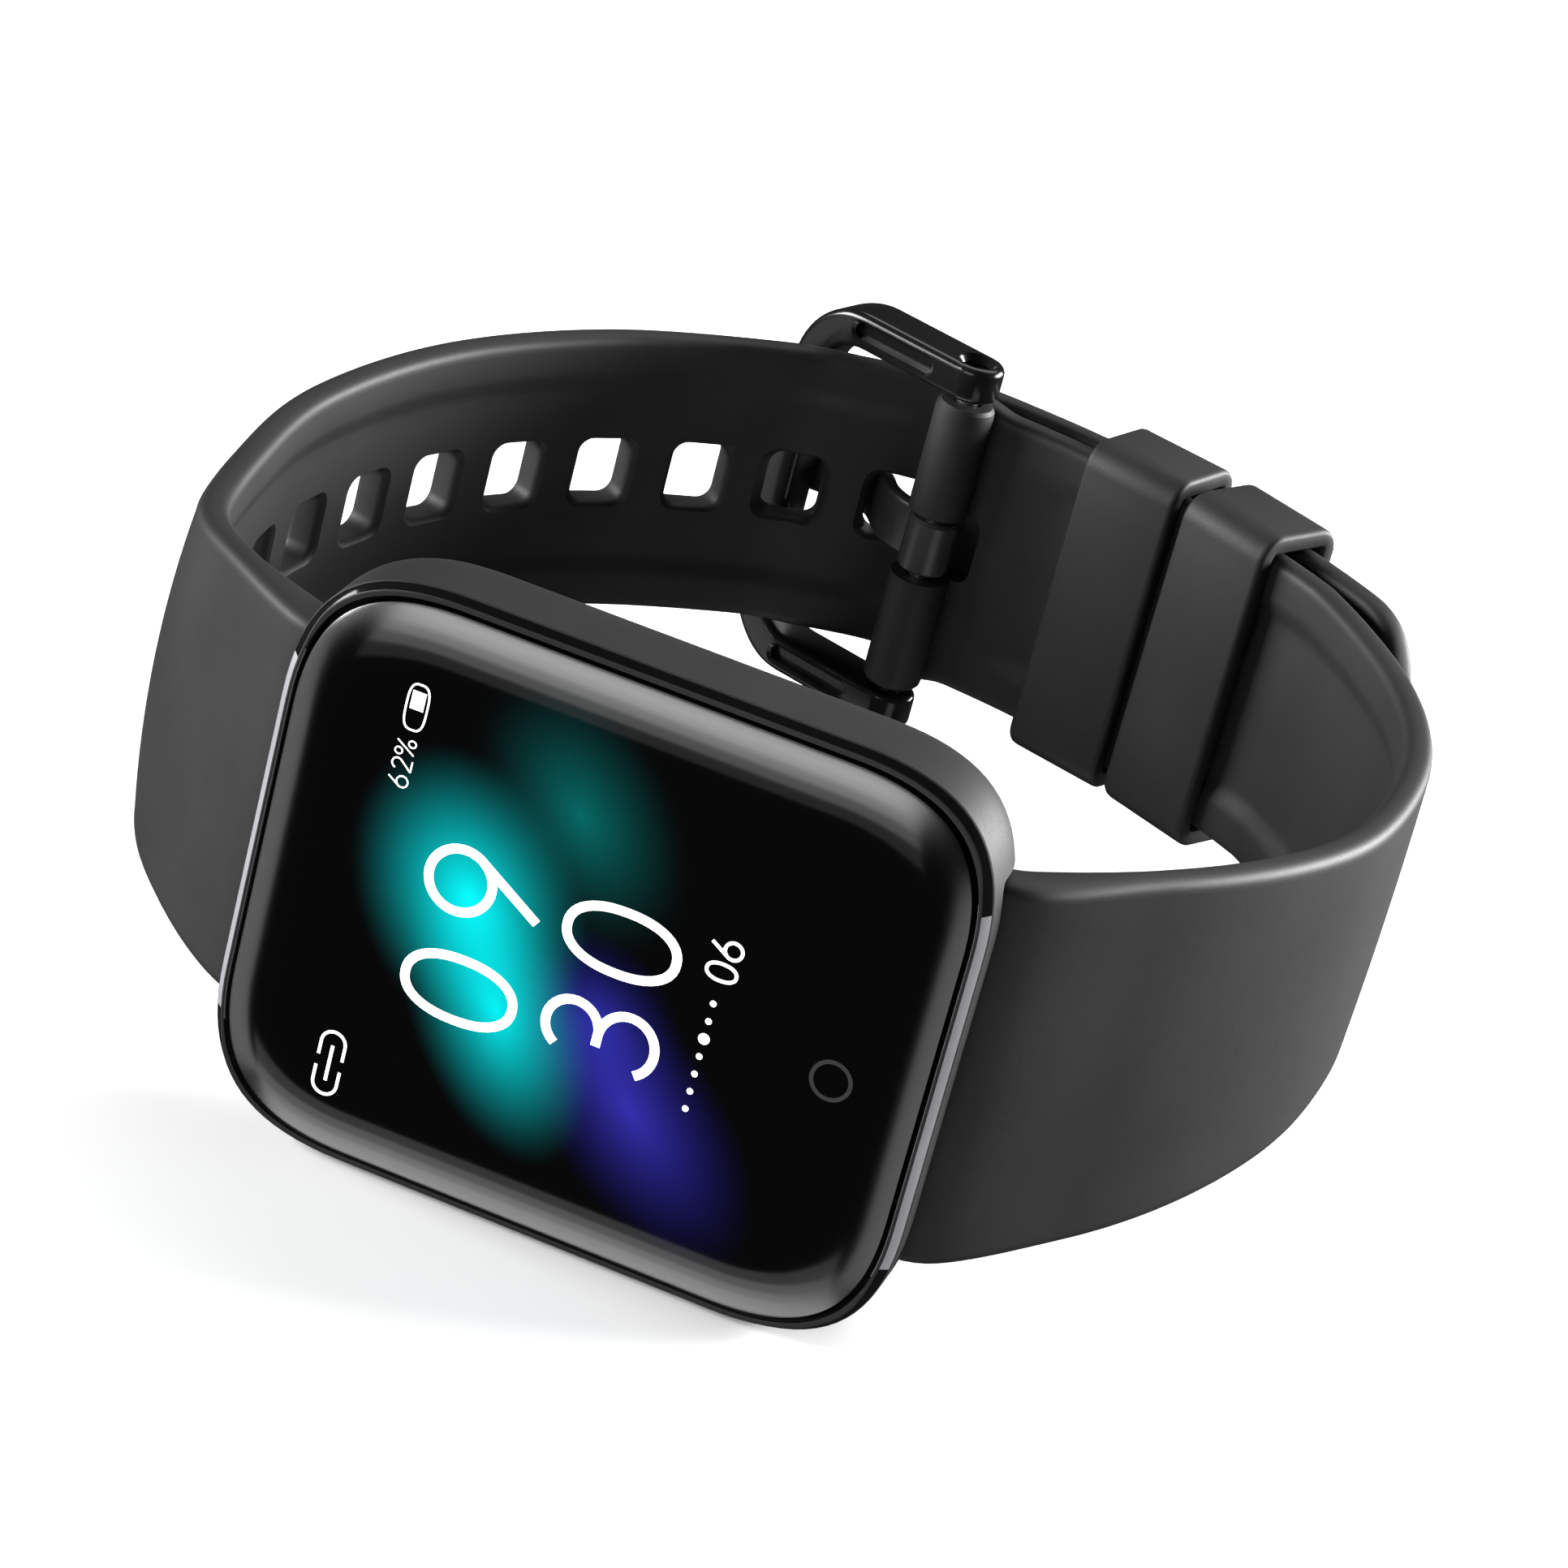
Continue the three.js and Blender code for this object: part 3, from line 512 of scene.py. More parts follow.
def strap_section(half, thick, crown, recess, edge):
    """Half the outline of a strap's cross-section, as (z, offset) from the outer middle round
    the edge to the inner middle. The outer face is crowned, and a recess lowers the inner face
    between its borders."""
    out = thick / 2 - PLAIN_CROWN + crown
    points = []
    flat = half - edge
    for i in range(9):
        z = flat * i / 8
        points.append((z, out - crown * (z / half) ** 2))
    inner_face = -thick / 2
    top = out - crown * (flat / half) ** 2
    middle = (top + inner_face) / 2
    rise = (top - inner_face) / 2
    for i in range(1, 16):
        a = math.pi / 2 - math.pi * i / 16
        c = math.cos(a)
        s = math.sin(a)
        z = flat + edge * abs(c) ** 0.8
        y = middle + math.copysign(abs(s) ** 0.8, s) * rise
        points.append((z, y))
    points.append((flat, inner_face))
    inner = half - RECESS_BORDER
    for i in range(8):
        t = i / 7
        points.append((inner - LIP * t, inner_face + recess * t * t * (3 - 2 * t)))
    for i in range(1, 9):
        points.append(((inner - LIP) * (1 - i / 8), inner_face + recess))
    return points


def strap_bm(line, runs, side, half_of, thick_of, crown_of, recess_of):
    """Strap swept along its centre line; side is 1 if the outer face is on the left of the way."""
    rings = []
    count = len(line)
    for i in range(count):
        before = line[max(i - 1, 0)]
        after = line[min(i + 1, count - 1)]
        way = (after - before) / np.linalg.norm(after - before)
        normal = np.array((-way[1], way[0])) * side
        half = half_of(runs[i], line[i][1])
        edge = min(0.9, half * 0.4)
        points = strap_section(half, thick_of(runs[i]), crown_of(runs[i]), recess_of(runs[i]), edge)
        ring = [(line[i][0] + normal[0] * o, line[i][1] + normal[1] * o, z) for z, o in points]
        mirrored = [(x, y, -z) for x, y, z in ring[1:-1]][::-1]
        rings.append(ring + mirrored)
    return loft(rings)


def taper(y, end_y):
    """Half width of a strap at a height y; it narrows from the lug to end_y."""
    return STRAP_LUG_HALF + (STRAP_HALF - STRAP_LUG_HALF) * smoothstep(y, 3.0, end_y)


def lug_swell(run):
    """Thickness of a strap, which is greater beside the lug."""
    return STRAP_THICK + 1.2 * (1 - smoothstep(run, 1.5, 12.0))


def with_knuckle(strap, side):
    """Round end of a strap about its spring bar, with the bar's bore and the lever's opening."""
    half = STRAP_LUG_HALF
    x = side * LUG_X
    radius = KNUCKLE_RADIUS
    half_profile = [(radius, half - 0.25), (radius - 0.25, half)]
    profile = [(r, -h) for r, h in reversed(half_profile)] + half_profile
    strap = cut(strap, turned_z(x, LUG_Y, profile), "UNION")
    bore = turned_z(x, LUG_Y, [(BORE_RADIUS, -20), (BORE_RADIUS, 20)], 32)
    strap = cut(strap, bore)
    return cut(strap, box_bm(x - 1.2, x + 1.2, LUG_Y, LUG_Y + 4, 6.4, 10.6))


def hole_cutter(point, way, side):
    """Plug for a square hole, wider at both faces so that the rims are bevelled."""
    normal = np.array((-way[1], way[0])) * side
    inner = -STRAP_THICK / 2 + HOLE_RECESS
    outer = STRAP_THICK / 2 - PLAIN_CROWN + HOLE_CROWN
    steps = [(inner - 0.8, 1.0), (inner - 0.02, 0.36), (inner + 0.1, 0.18), (inner + 0.28, 0.05),
             (inner + 0.55, 0.0), (outer - 0.45, 0.0), (outer - 0.2, 0.07), (outer - 0.06, 0.2),
             (outer + 0.06, 0.36), (outer + 0.8, 1.2)]
    rings = []
    for offset, grow in steps:
        outline = rounded_rect(1.95 + grow, 2.3 + grow * 0.8, 0.95 + grow * 0.6, 0.55, 6, 3)
        ring = []
        for a, b in outline:
            ring.append((point[0] + way[0] * a + normal[0] * offset,
                         point[1] + way[1] * a + normal[1] * offset, b))
        rings.append(ring)
    return loft(rings)


def along(line, runs, run):
    """Point of a centre line at a run."""
    return np.array((np.interp(run, runs, line[:, 0]), np.interp(run, runs, line[:, 1])))


def side_of(way, point):
    """1 if the outer side of the band is on the left of the way at that point, else -1."""
    outward = point - np.array(BAND_MIDDLE)
    return 1 if -way[1] * outward[0] + way[0] * outward[1] > 0 else -1


def make_long_strap():
    line, runs, arc_run = centre_line(LONG_ROUTE, LONG_RADIUS, 84.0, 46.0)
    total = runs[-1]
    power = 2.6

    def half_of(run, y):
        left = total - run
        half = taper(y, LONG_TAPER_Y)
        if left < STRAP_TIP:
            half *= max(1 - (1 - left / STRAP_TIP) ** power, 0.0) ** (1 / power) * 0.94 + 0.06
        return half

    def thick_of(run):
        left = total - run
        thin = 1.0 if left > 2.0 else 0.35 + 0.65 * math.sqrt(max(1 - (1 - left / 2.0) ** 2, 0.0))
        return lug_swell(run) * thin

    def free_share(run):
        return smoothstep(run, 9.0, 16.0) * (1 - smoothstep(run, arc_run - 3, arc_run + 3))

    def crown_of(run):
        return PLAIN_CROWN + (HOLE_CROWN - PLAIN_CROWN) * free_share(run)

    def recess_of(run):
        return HOLE_RECESS * free_share(run)

    strap = strap_bm(line, runs, 1, half_of, thick_of, crown_of, recess_of)
    plugs = []
    for k in range(HOLE_COUNT):
        run = arc_run - FIRST_HOLE - k * HOLE_PITCH
        point = along(line, runs, run)
        ahead = along(line, runs, run + 0.5)
        way = (ahead - point) / np.linalg.norm(ahead - point)
        plugs.append(hole_cutter(point, way, side_of(way, point)))
    strap = cut(strap, joined(*plugs))
    strap = with_knuckle(strap, -1)
    dress(to_object("strap_with_holes", strap, 32.0), "band", "watch", "strap_long")


def make_short_strap():
    line, runs, arc_run = centre_line(SHORT_ROUTE, SHORT_RADIUS, 54.0, 86.5)
    total = runs[-1]

    def half_of(run, y):
        return taper(y, SHORT_TAPER_Y) + 0.5 * smoothstep(run, total - 3.5, total - 0.8)

    def crown_of(run):
        return PLAIN_CROWN

    def recess_of(run):
        dish = smoothstep(run, 8.0, 15.0) * (1 - smoothstep(run, arc_run + 4.5, arc_run + 6.5))
        past_keepers = smoothstep(run, arc_run + 14, arc_run + 17)
        near_roll = past_keepers * (1 - smoothstep(run, total - 9.0, total - 4.0))
        return 0.5 * dish + 0.6 * near_roll

    strap = strap_bm(line, runs, -1, half_of, lug_swell, crown_of, recess_of)
    half_roll = [(ROLL_RADIUS, ROLL_END - 0.8), (ROLL_RADIUS - 0.05, ROLL_END - 0.35),
                 (ROLL_RADIUS - 0.25, ROLL_END - 0.1), (ROLL_RADIUS - 0.7, ROLL_END)]
    roll = turned_z(PIN[0], PIN[1], [(r, -h) for r, h in reversed(half_roll)] + half_roll)
    strap = cut(strap, roll, "UNION")
    outline = rounded_rect(3.55, 2.4, 0.9, 0.55, 6, 3)
    notch = loft([[(PIN[0] - 0.45 + a, PIN[1] + y, b) for a, b in outline] for y in (-4, 4)])
    strap = cut(strap, notch)
    strap = cut(strap, turned_z(PIN[0], PIN[1], [(BORE_RADIUS, -20), (BORE_RADIUS, 20)], 32))
    strap = with_knuckle(strap, 1)
    dress(to_object("strap_with_buckle_roll", strap, 32.0), "band", "watch", "strap_short")


# ---- keepers ----
def make_keeper(index, degrees, body):
    half = KEEPER_DEPTH / 2
    length = KEEPER_LENGTH / 2
    wall = KEEPER_WALL
    # The wall's profile as (inset, place along the band): one rim from outside in, then its mirror image.
    rim = [(0.0, length - 0.4), (0.05, length - 0.2), (0.17, length - 0.06), (0.35, length),
           (wall - 0.2, length), (wall - 0.06, length - 0.06), (wall, length - 0.25)]
    profile = [(0.0, 0.0)] + rim + [(wall, 0.0)] + [(inset, -w) for inset, w in reversed(rim)]
    rings = []
    for inset, w in profile:
        corner = max(1.9 - inset * 1.5, 0.4)
        outline = rounded_rect(half - inset, KEEPER_HALF_Z - inset, corner, 0.55, 10, 8)
        rings.append([(a, b, w) for a, b in outline])
    bm = loft(rings, loop=True)
    a = math.radians(degrees)
    centre = arc_point(KEEPER_INNER + half, degrees)
    place(bm, (centre[0], centre[1], 0), (math.cos(a), math.sin(a), 0), (0, 0, 1),
          (math.sin(a), -math.cos(a), 0))
    obj = to_object(f"band_keeper_{index}", bm, 50.0)
    dress(obj, "band", body, f"keeper_{index}")


# ---- buckle ----
def buckle_axes():
    a = math.radians(FRAME_TILT)
    return (-math.cos(a), math.sin(a), 0), (0, 0, 1), (math.sin(a), math.cos(a), 0)


def soft_section(half_a, half_b, radius):
    """Rectangle with quarter-round corners."""
    return rounded_rect(half_a, half_b, radius, 0.55, 5, 2)


def loop_path():
    """Middle line of the buckle's loop, from one pin hole round the front bar to the other."""
    mid = (ARM_INNER + ARM_OUTER) / 2
    corner = 4.3
    bend = LOOP_REACH - corner
    path = [(0.0, -mid)] + straight((0.0, -mid), (bend, -mid), 8)
    path += corner_curve((bend, -mid), (LOOP_REACH, -mid), (LOOP_REACH, corner - mid), 0.56, 16)
    path += straight((LOOP_REACH, corner - mid), (LOOP_REACH, mid - corner), 10)
    path += corner_curve((LOOP_REACH, mid - corner), (LOOP_REACH, mid), (bend, mid), 0.56, 16)
    path += straight((bend, mid), (0.0, mid), 8)
    path.append((0.0, mid))
    return path


def make_buckle_frame():
    wall = (ARM_OUTER - ARM_INNER) / 2
    edge = 0.5
    path = loop_path()
    rings = []
    for i, point in enumerate(path):
        before = np.array(path[max(i - 1, 0)])
        after = np.array(path[min(i + 1, len(path) - 1)])
        way = (after - before) / np.linalg.norm(after - before)
        across = np.array((-way[1], way[0]))
        depth = ARM_HALF_DEPTH + (BAR_HALF_DEPTH - ARM_HALF_DEPTH) * smoothstep(point[0], 8.6, LOOP_REACH)
        rings.append([(point[0] + across[0] * a, point[1] + across[1] * a, b)
                      for a, b in soft_section(wall, depth, edge)])
    ring = place(loft(rings), (PIN[0], PIN[1], 0), *buckle_axes())
    for side in (-1, 1):
        ear = [(ARM_HALF_DEPTH - edge, ARM_INNER)]
        for k in range(1, 6):
            a = math.pi / 2 * k / 5
            ear.append((ARM_HALF_DEPTH - edge + edge * math.sin(a), ARM_INNER + edge * (1 - math.cos(a))))
        ear += [(r, ARM_INNER + ARM_OUTER - h) for r, h in reversed(ear)]
        ring = cut(ring, turned_z(PIN[0], PIN[1], [(r, side * h) for r, h in ear], 56), "UNION")
        ring = cut(ring, arm_pocket(side))
    half_bore = [(PIN_HOLE, ARM_OUTER - 0.5), (PIN_HOLE + 0.3, ARM_OUTER - 0.15), (PIN_HOLE + 0.3, 20)]
    bore = [(r, -h) for r, h in reversed(half_bore)] + half_bore
    ring = cut(ring, turned_z(PIN[0], PIN[1], bore, 40))
    obj = to_object("buckle_loop", ring, 32.0)
    dress(obj, "buckle", "buckle", "buckle_frame")


def arm_pocket(side):
    """Long shallow pocket in the wrist side of one arm, with a sloped rim."""
    mid = side * (ARM_INNER + ARM_OUTER) / 2
    rings = []
    for grow, height in ((0.22, -0.3), (0.22, 0.0), (0.0, 0.2), (0.0, 0.7)):
        outline = rounded_rect(3.3 + grow, 0.55 + grow, 0.5 + grow, 0.55, 8, 4)
        rings.append([(5.6 + u, mid + z, height - ARM_HALF_DEPTH) for u, z in outline])
    return place(loft(rings), (PIN[0], PIN[1], 0), *buckle_axes())


def make_tongue():
    """Flat strip bent from its barrel through the hole and over the front bar."""
    knots = [(PIN[0] - 0.9, PIN[1] + 0.9), (-6.1, 73.55), (-7.5, 74.7), (-8.4, 76.2), (-9.5, 77.5),
             (-12.2, 78.2), (-16.4, 78.2)]
    line = np.array(catmull([np.array(k) for k in knots], 6))
    rings = []
    for i in range(len(line)):
        before = line[max(i - 1, 0)]
        after = line[min(i + 1, len(line) - 1)]
        way = (after - before) / np.linalg.norm(after - before)
        normal = np.array((-way[1], way[0]))
        left = np.linalg.norm(line[-1] - line[i])
        shrink = 0.72 + 0.28 * min(left / 1.2, 1.0)
        section = rounded_rect(0.55 * shrink, TONGUE_HALF * shrink, 0.35, 0.55, 4, 3)
        rings.append([(line[i][0] + normal[0] * a, line[i][1] + normal[1] * a, b) for a, b in section])
    tongue = loft(rings)
    flank = TONGUE_HALF - 0.2
    profile = [(1.55, -TONGUE_HALF), (1.75, -flank), (1.75, flank), (1.55, TONGUE_HALF)]
    tongue = cut(tongue, turned_z(PIN[0], PIN[1], profile), "UNION")
    tongue = cut(tongue, turned_z(PIN[0], PIN[1], [(PIN_HOLE, -9), (PIN_HOLE, 9)], 32))
    dress(to_object("buckle_prong", tongue, 30.0), "buckle", "tongue", "buckle_tongue",
          material=MATERIALS["satin"])


def make_buckle_pin():
    end = 12.3
    profile = [(0.55, -end), (0.75, 0.2 - end), (0.75, end - 0.2), (0.55, end)]
    pin = to_object("buckle_axle", turned_z(PIN[0], PIN[1], profile, 40), 30.0)
    dress(pin, "steel", "buckle", "buckle_pin")


# ---- case ----
def end_chamfer(ring, rim):
    """Widens the chamfer along the 12 and 6 o'clock edges: moves the rim points inwards there."""
    moved = []
    for x, y, z in ring:
        share = smoothstep(abs(x), 19.2, 20.3)
        moved.append((x - math.copysign(rim * share, x), y, z))
    return moved


def make_case():
    """One wall from the inside over the glass seat, the rim and the chamfer, round to the back."""
    seat = 0.72
    profile = [(5.7, 8.3), (5.7, 1.75), (seat, 1.75), (seat, 0.12), (seat - 0.05, 0.02),
               (seat - 0.12, 0.0)]
    rings = slab_rings(CASE_HALF_X, CASE_HALF_Z, CASE_CORNER, profile, side=10, steps=20)
    for inset, y, rim in ((0.40, 0.0, 0.16), (0.34, 0.05, 0.14), (0.06, 0.55, 0.0), (0.0, 0.66, 0.0)):
        ring = slab_rings(CASE_HALF_X, CASE_HALF_Z, CASE_CORNER, [(inset, y)], side=10, steps=20)[0]
        rings.append(end_chamfer(ring, rim))
    wall = [(0.0, 1.6), (0.0, 2.6), (0.0, 3.3)]
    for i in range(1, 13):
        a = math.pi / 2 * i / 12
        wall.append((3.4 * (1 - math.cos(a)), 3.3 + 5.2 * math.sin(a)))
    wall += [(3.55, CASE_BACK_Y), (5.4, CASE_BACK_Y)]
    rings += slab_rings(CASE_HALF_X, CASE_HALF_Z, CASE_CORNER, wall, side=10, steps=20)
    case = loft(rings, loop=True)
    reach = 15.0
    outline = rounded_rect(reach, SLOT_HALF_Z, 0.6, 0.55, 5, 3)
    for side in (-1, 1):
        slot = loft([[(side * x, SLOT_Y + reach + a, b) for a, b in outline] for x in (16.5, 30.0)])
        case = cut(case, slot)
    obj = to_object("case_shell", case, 28.0)
    dress(obj, "case", "watch", "case_body")
    # Second and third slots: the chamfer's painted reflection and its painted shade.
    obj.data.materials.append(MATERIALS["cut"])
    obj.data.materials.append(MATERIALS["gloss"])
    paint_chamfer_light_and_shade(obj)


def paint_chamfer_light_and_shade(obj):
    """The cut facet between the rim and the side wall, with light and shade painted by side: bright metal
    along the middle of the
    12 and 6 o'clock edges as a painted reflection, black gloss on the rest as painted shade."""
    low = at(0, 0.03, 0).y
    high = at(0, 0.58, 0).y
    for face in obj.data.polygons:
        if low < face.center.y < high and 0.3 < abs(face.normal.y) < 0.97:
            # Faces that look towards 12 or 6 o'clock, away from the corners, get the painted reflection;
            # the rest get the painted shade.
            painted_lit_side = abs(face.normal.x) > 0.7 and abs(face.center.z - SHIFT.z) < PAINTED_REFLECTION_HALF_Z * MM
            face.material_index = 1 if painted_lit_side else 2


def make_glass():
    profile = [(2.0, GLASS_BACK_Y), (0.0, GLASS_BACK_Y), (0.0, 0.05), (0.02, -0.03)]
    for i in range(25):
        t = i / 24
        inset = 0.05 + (EDGE_WIDTH - 0.05) * t
        profile.append((inset, -0.05 - (LENS_DEPTH - 0.01) * (1 - (1 - t) ** LENS_CURVE)))
    profile += [(7.0, GLASS_FRONT_Y)]
    rings = slab_rings(GLASS_HALF_X, GLASS_HALF_Z, GLASS_CORNER, profile, side=16, steps=24)
    obj = to_object("cover_lens", loft(rings), 35.0)
    soften_edge(obj)
    dress(obj, "glass", "watch", "glass_lens", material=lens_material())


def soften_edge(obj):
    """Stores how far each point is into the curved edge: 1 at the rim, 0 where the lens is flat."""
    share = obj.data.attributes.new("edge_share", "FLOAT", "POINT")
    for vert in obj.data.vertices:
        local = (vert.co - SHIFT) / MM
        share.data[vert.index].value = smoothstep(local.y, GLASS_FRONT_Y + 0.02, GLASS_FRONT_Y + 0.75)


def make_gasket():
    profile = [(0.14, 0.55), (0.14, 1.5), (0.8, 1.5), (0.8, 0.55)]
    rings = slab_rings(GLASS_HALF_X, GLASS_HALF_Z, GLASS_CORNER, profile, side=12, steps=22)
    obj = to_object("lens_seal", loft(rings, loop=True), 30.0)
    dress(obj, "seal", "watch", "glass_gasket")


# ---- display ----
def add_glow(tree, coords, centre, half_length, half_width, turn, color):
    """Soft oval of colour that fades to black; half sizes and the centre (x, z) are in mm."""
    spread = 1.9 * MM
    mapping = tree.nodes.new("ShaderNodeMapping")
    mapping.vector_type = "TEXTURE"
    mapping.inputs["Location"].default_value = at(centre[0], GLASS_FRONT_Y, centre[1])
    mapping.inputs["Rotation"].default_value = (0, math.radians(turn), 0)
    mapping.inputs["Scale"].default_value = (half_width * spread, 1.0, half_length * spread)
    tree.links.new(coords.outputs["Object"], mapping.inputs["Vector"])
    oval = tree.nodes.new("ShaderNodeTexGradient")
    oval.gradient_type = "QUADRATIC_SPHERE"
    tree.links.new(mapping.outputs["Vector"], oval.inputs["Vector"])
    tint = tree.nodes.new("ShaderNodeMix")
    tint.data_type = "RGBA"
    tint.inputs["A"].default_value = (0, 0, 0, 1)
    tint.inputs["B"].default_value = (*color, 1)
    tree.links.new(oval.outputs["Fac"], tint.inputs["Factor"])
    return tint.outputs["Result"]


def add_colors(tree, first, second):
    add = tree.nodes.new("ShaderNodeMix")
    add.data_type = "RGBA"
    add.blend_type = "ADD"
    add.inputs["Factor"].default_value = 1.0
    tree.links.new(first, add.inputs["A"])
    tree.links.new(second, add.inputs["B"])
    return add.outputs["Result"]


def lens_material():
    """Black-backed lens with soft cyan, teal and indigo glows of the lit screen.
    The polish is crisp in the middle and softer on the curved edge."""
    material, tree, shader = new_material("cover_glass", grey(0.0), 0.05, 0.0, Specular_IOR_Level=1.0)
    edge = tree.nodes.new("ShaderNodeAttribute")
    edge.attribute_name = "edge_share"
    spread = tree.nodes.new("ShaderNodeMapRange")
    spread.inputs["To Min"].default_value = 0.08
    spread.inputs["To Max"].default_value = 0.24
    tree.links.new(edge.outputs["Fac"], spread.inputs["Value"])
    polish = add_noise(tree, 60.0, 2.0)
    uneven = tree.nodes.new("ShaderNodeMath")
    uneven.operation = "MULTIPLY_ADD"
    uneven.inputs[1].default_value = 0.02
    tree.links.new(polish.outputs["Fac"], uneven.inputs[0])
    tree.links.new(spread.outputs["Result"], uneven.inputs[2])
    tree.links.new(uneven.outputs["Value"], shader.inputs["Roughness"])
    coords = tree.nodes.new("ShaderNodeTexCoord")
    # centre (x, z), half length, half width, turn in degrees, colour
    total = add_glow(tree, coords, (-7.2, 1.6), 4.9, 3.7, -30, (0.0, 0.60, 0.62))
    for glow in (((-4.2, -4.4), 5.0, 2.9, -30, (0.0, 0.52, 0.54)),
                 ((-2.2, 8.8), 4.6, 3.1, -38, (0.0, 0.085, 0.080)),
                 ((4.6, -7.2), 5.6, 3.0, -47, (0.020, 0.017, 0.25)),
                 ((1.6, -2.8), 3.4, 2.6, -40, (0.014, 0.015, 0.20))):
        total = add_colors(tree, total, add_glow(tree, coords, *glow))
    tree.links.new(total, shader.inputs["Emission Color"])
    shader.inputs["Emission Strength"].default_value = 1.6
    return material


def ink_material():
    material, tree, shader = new_material("screen_ink", grey(0.9), 0.4, 0.0)
    noise = add_noise(tree, 2000.0)
    vary_color(tree, shader, noise, grey(0.86), grey(0.92))
    shader.inputs["Emission Color"].default_value = (1, 1, 1, 1)
    shader.inputs["Emission Strength"].default_value = 1.15
    return material


def make_screen():
    profile = [(0.0, 1.45), (0.0, 0.8), (0.05, SCREEN_Y)]
    rings = slab_rings(18.3, 15.5, 7.4, profile, side=12, steps=16)
    obj = to_object("screen_panel", loft(rings), 30.0)
    dress(obj, "display", "watch", "display_panel", material=MATERIALS["window"])


def stroke(points, width, closed=False):
    """Flat ribbon along points (right, up) on the screen, as a thin solid. Right is the part's z
    and up is its -x."""
    count = len(points)
    rows = []
    for i in range(count):
        if closed:
            before = np.array(points[i - 1])
            after = np.array(points[(i + 1) % count])
        else:
            before = np.array(points[max(i - 1, 0)])
            after = np.array(points[min(i + 1, count - 1)])
        way = (after - before) / np.linalg.norm(after - before)
        side = np.array((-way[1], way[0])) * width / 2
        left = np.array(points[i]) + side
        right = np.array(points[i]) - side
        rows.append([(-left[1], INK_TOP_Y, left[0]), (-right[1], INK_TOP_Y, right[0]),
                     (-right[1], INK_BASE_Y, right[0]), (-left[1], INK_BASE_Y, left[0])])
    return loft(rows, loop=closed)


def ellipse(centre, half_w, half_h, start=0.0, end=360.0, count=48, power=2.0):
    points = []
    full = abs(end - start) >= 360
    for i in range(count if full else count + 1):
        a = math.radians(start + (end - start) * i / count)
        c = math.cos(a)
        s = math.sin(a)
        points.append((centre[0] + half_w * math.copysign(abs(c) ** (2 / power), c),
                       centre[1] + half_h * math.copysign(abs(s) ** (2 / power), s)))
    return points


def glyph(kind, u, v, height, width):
    """Strokes of a digit whose box is centred on (u, v); height is to the middle of the strokes."""
    h = height / 2
    w = height * 0.29
    if kind == "0":
        return [stroke(ellipse((u, v), w, h, power=2.25), width, True)]
    if kind == "9":
        bowl = ellipse((u, v + h - w), w, w, count=40)
        a = math.radians(-38)
        tail = [(u + w * math.cos(a), v + h - w + w * math.sin(a)), (u - w * 0.42, v - h - width * 0.3)]
        return [stroke(bowl, width, True), stroke(tail, width)]
    if kind == "3":
        r = height * 0.25
        top = ellipse((u, v + h - r * 0.96), r * 0.98, r * 0.96, 150, -78, 26)
        low = ellipse((u, v - h + r * 1.04), r * 1.1, r * 1.04, 82, -150, 28)
        bar = [(u - r * 0.42, v + 0.02 * height), (u + r * 0.2, v + 0.02 * height)]
        return [stroke(top, width), stroke(low, width), stroke(bar, width)]
    if kind == "6":
        bowl = ellipse((u, v - h + w), w, w, count=40)
        a = math.radians(142)
        tail = [(u + w * math.cos(a), v - h + w + w * math.sin(a)), (u + w * 0.42, v + h + width * 0.3)]
        return [stroke(bowl, width, True), stroke(tail, width)]
    if kind == "2":
        r = height * 0.27
        arch = ellipse((u, v + h - r), r, r, 165, -38, 20)
        foot = [arch[-1], (u - r, v - h), (u + r * 1.1, v - h)]
        return [stroke(arch, width), stroke(foot[:2], width), stroke(foot[1:], width)]
    raise ValueError(kind)


def link_icon(u, v):
    """Two open links and a bar."""
    reach = 1.27
    radius = 0.73
    parts = [stroke([(u - 1.13, v), (u + 1.13, v)], 0.2)]
    for side in (-1, 1):
        link = [(u + side * 0.35, v + radius)]
        for i in range(17):
            a = math.pi * (0.5 - i / 16)
            link.append((u + side * (reach + radius * math.cos(a)), v + radius * math.sin(a)))
        link.append((u + side * 0.35, v - radius))
        parts.append(stroke(link, 0.18))
    return parts


def make_ink():
    """White figures and icons: hours over minutes, weekday dots, day number, charge, battery, link."""
    ink = ink_material()
    parts = []
    for kind, u, v in (("0", -4.0, 6.6), ("9", 2.45, 6.6), ("3", -3.45, -1.85), ("0", 2.45, -1.75)):
        parts += glyph(kind, u, v, 6.5, 0.56)
    for kind, u in (("0", 3.0), ("6", 4.45)):
        parts += glyph(kind, u, -7.55, 1.75, 0.2)
    for i in range(7):
        radius = 0.34 if i == 4 else 0.19
        dot = ellipse((-5.7 + i * 1.12, -7.55), radius / 2, radius / 2, count=20)
        parts.append(stroke(dot, radius, True))
    for kind, u in (("6", 6.85), ("2", 7.85)):
        parts += glyph(kind, u, 12.75, 1.15, 0.085)
    parts.append(stroke([(8.55, 12.2), (9.25, 13.3)], 0.08))
    for u, v in ((8.6, 13.1), (9.2, 12.4)):
        parts.append(stroke(ellipse((u, v), 0.2, 0.22, count=16), 0.08, True))
    parts.append(stroke(ellipse((11.4, 12.65), 1.38, 0.62, power=3.2), 0.11, True))
    parts.append(stroke([(11.25, 12.65), (12.35, 12.65)], 0.8))
    parts += link_icon(-11.4, 12.95)
    obj = to_object("screen_figures", joined(*parts), 40.0)
    dress(obj, "led", "watch", material=ink)


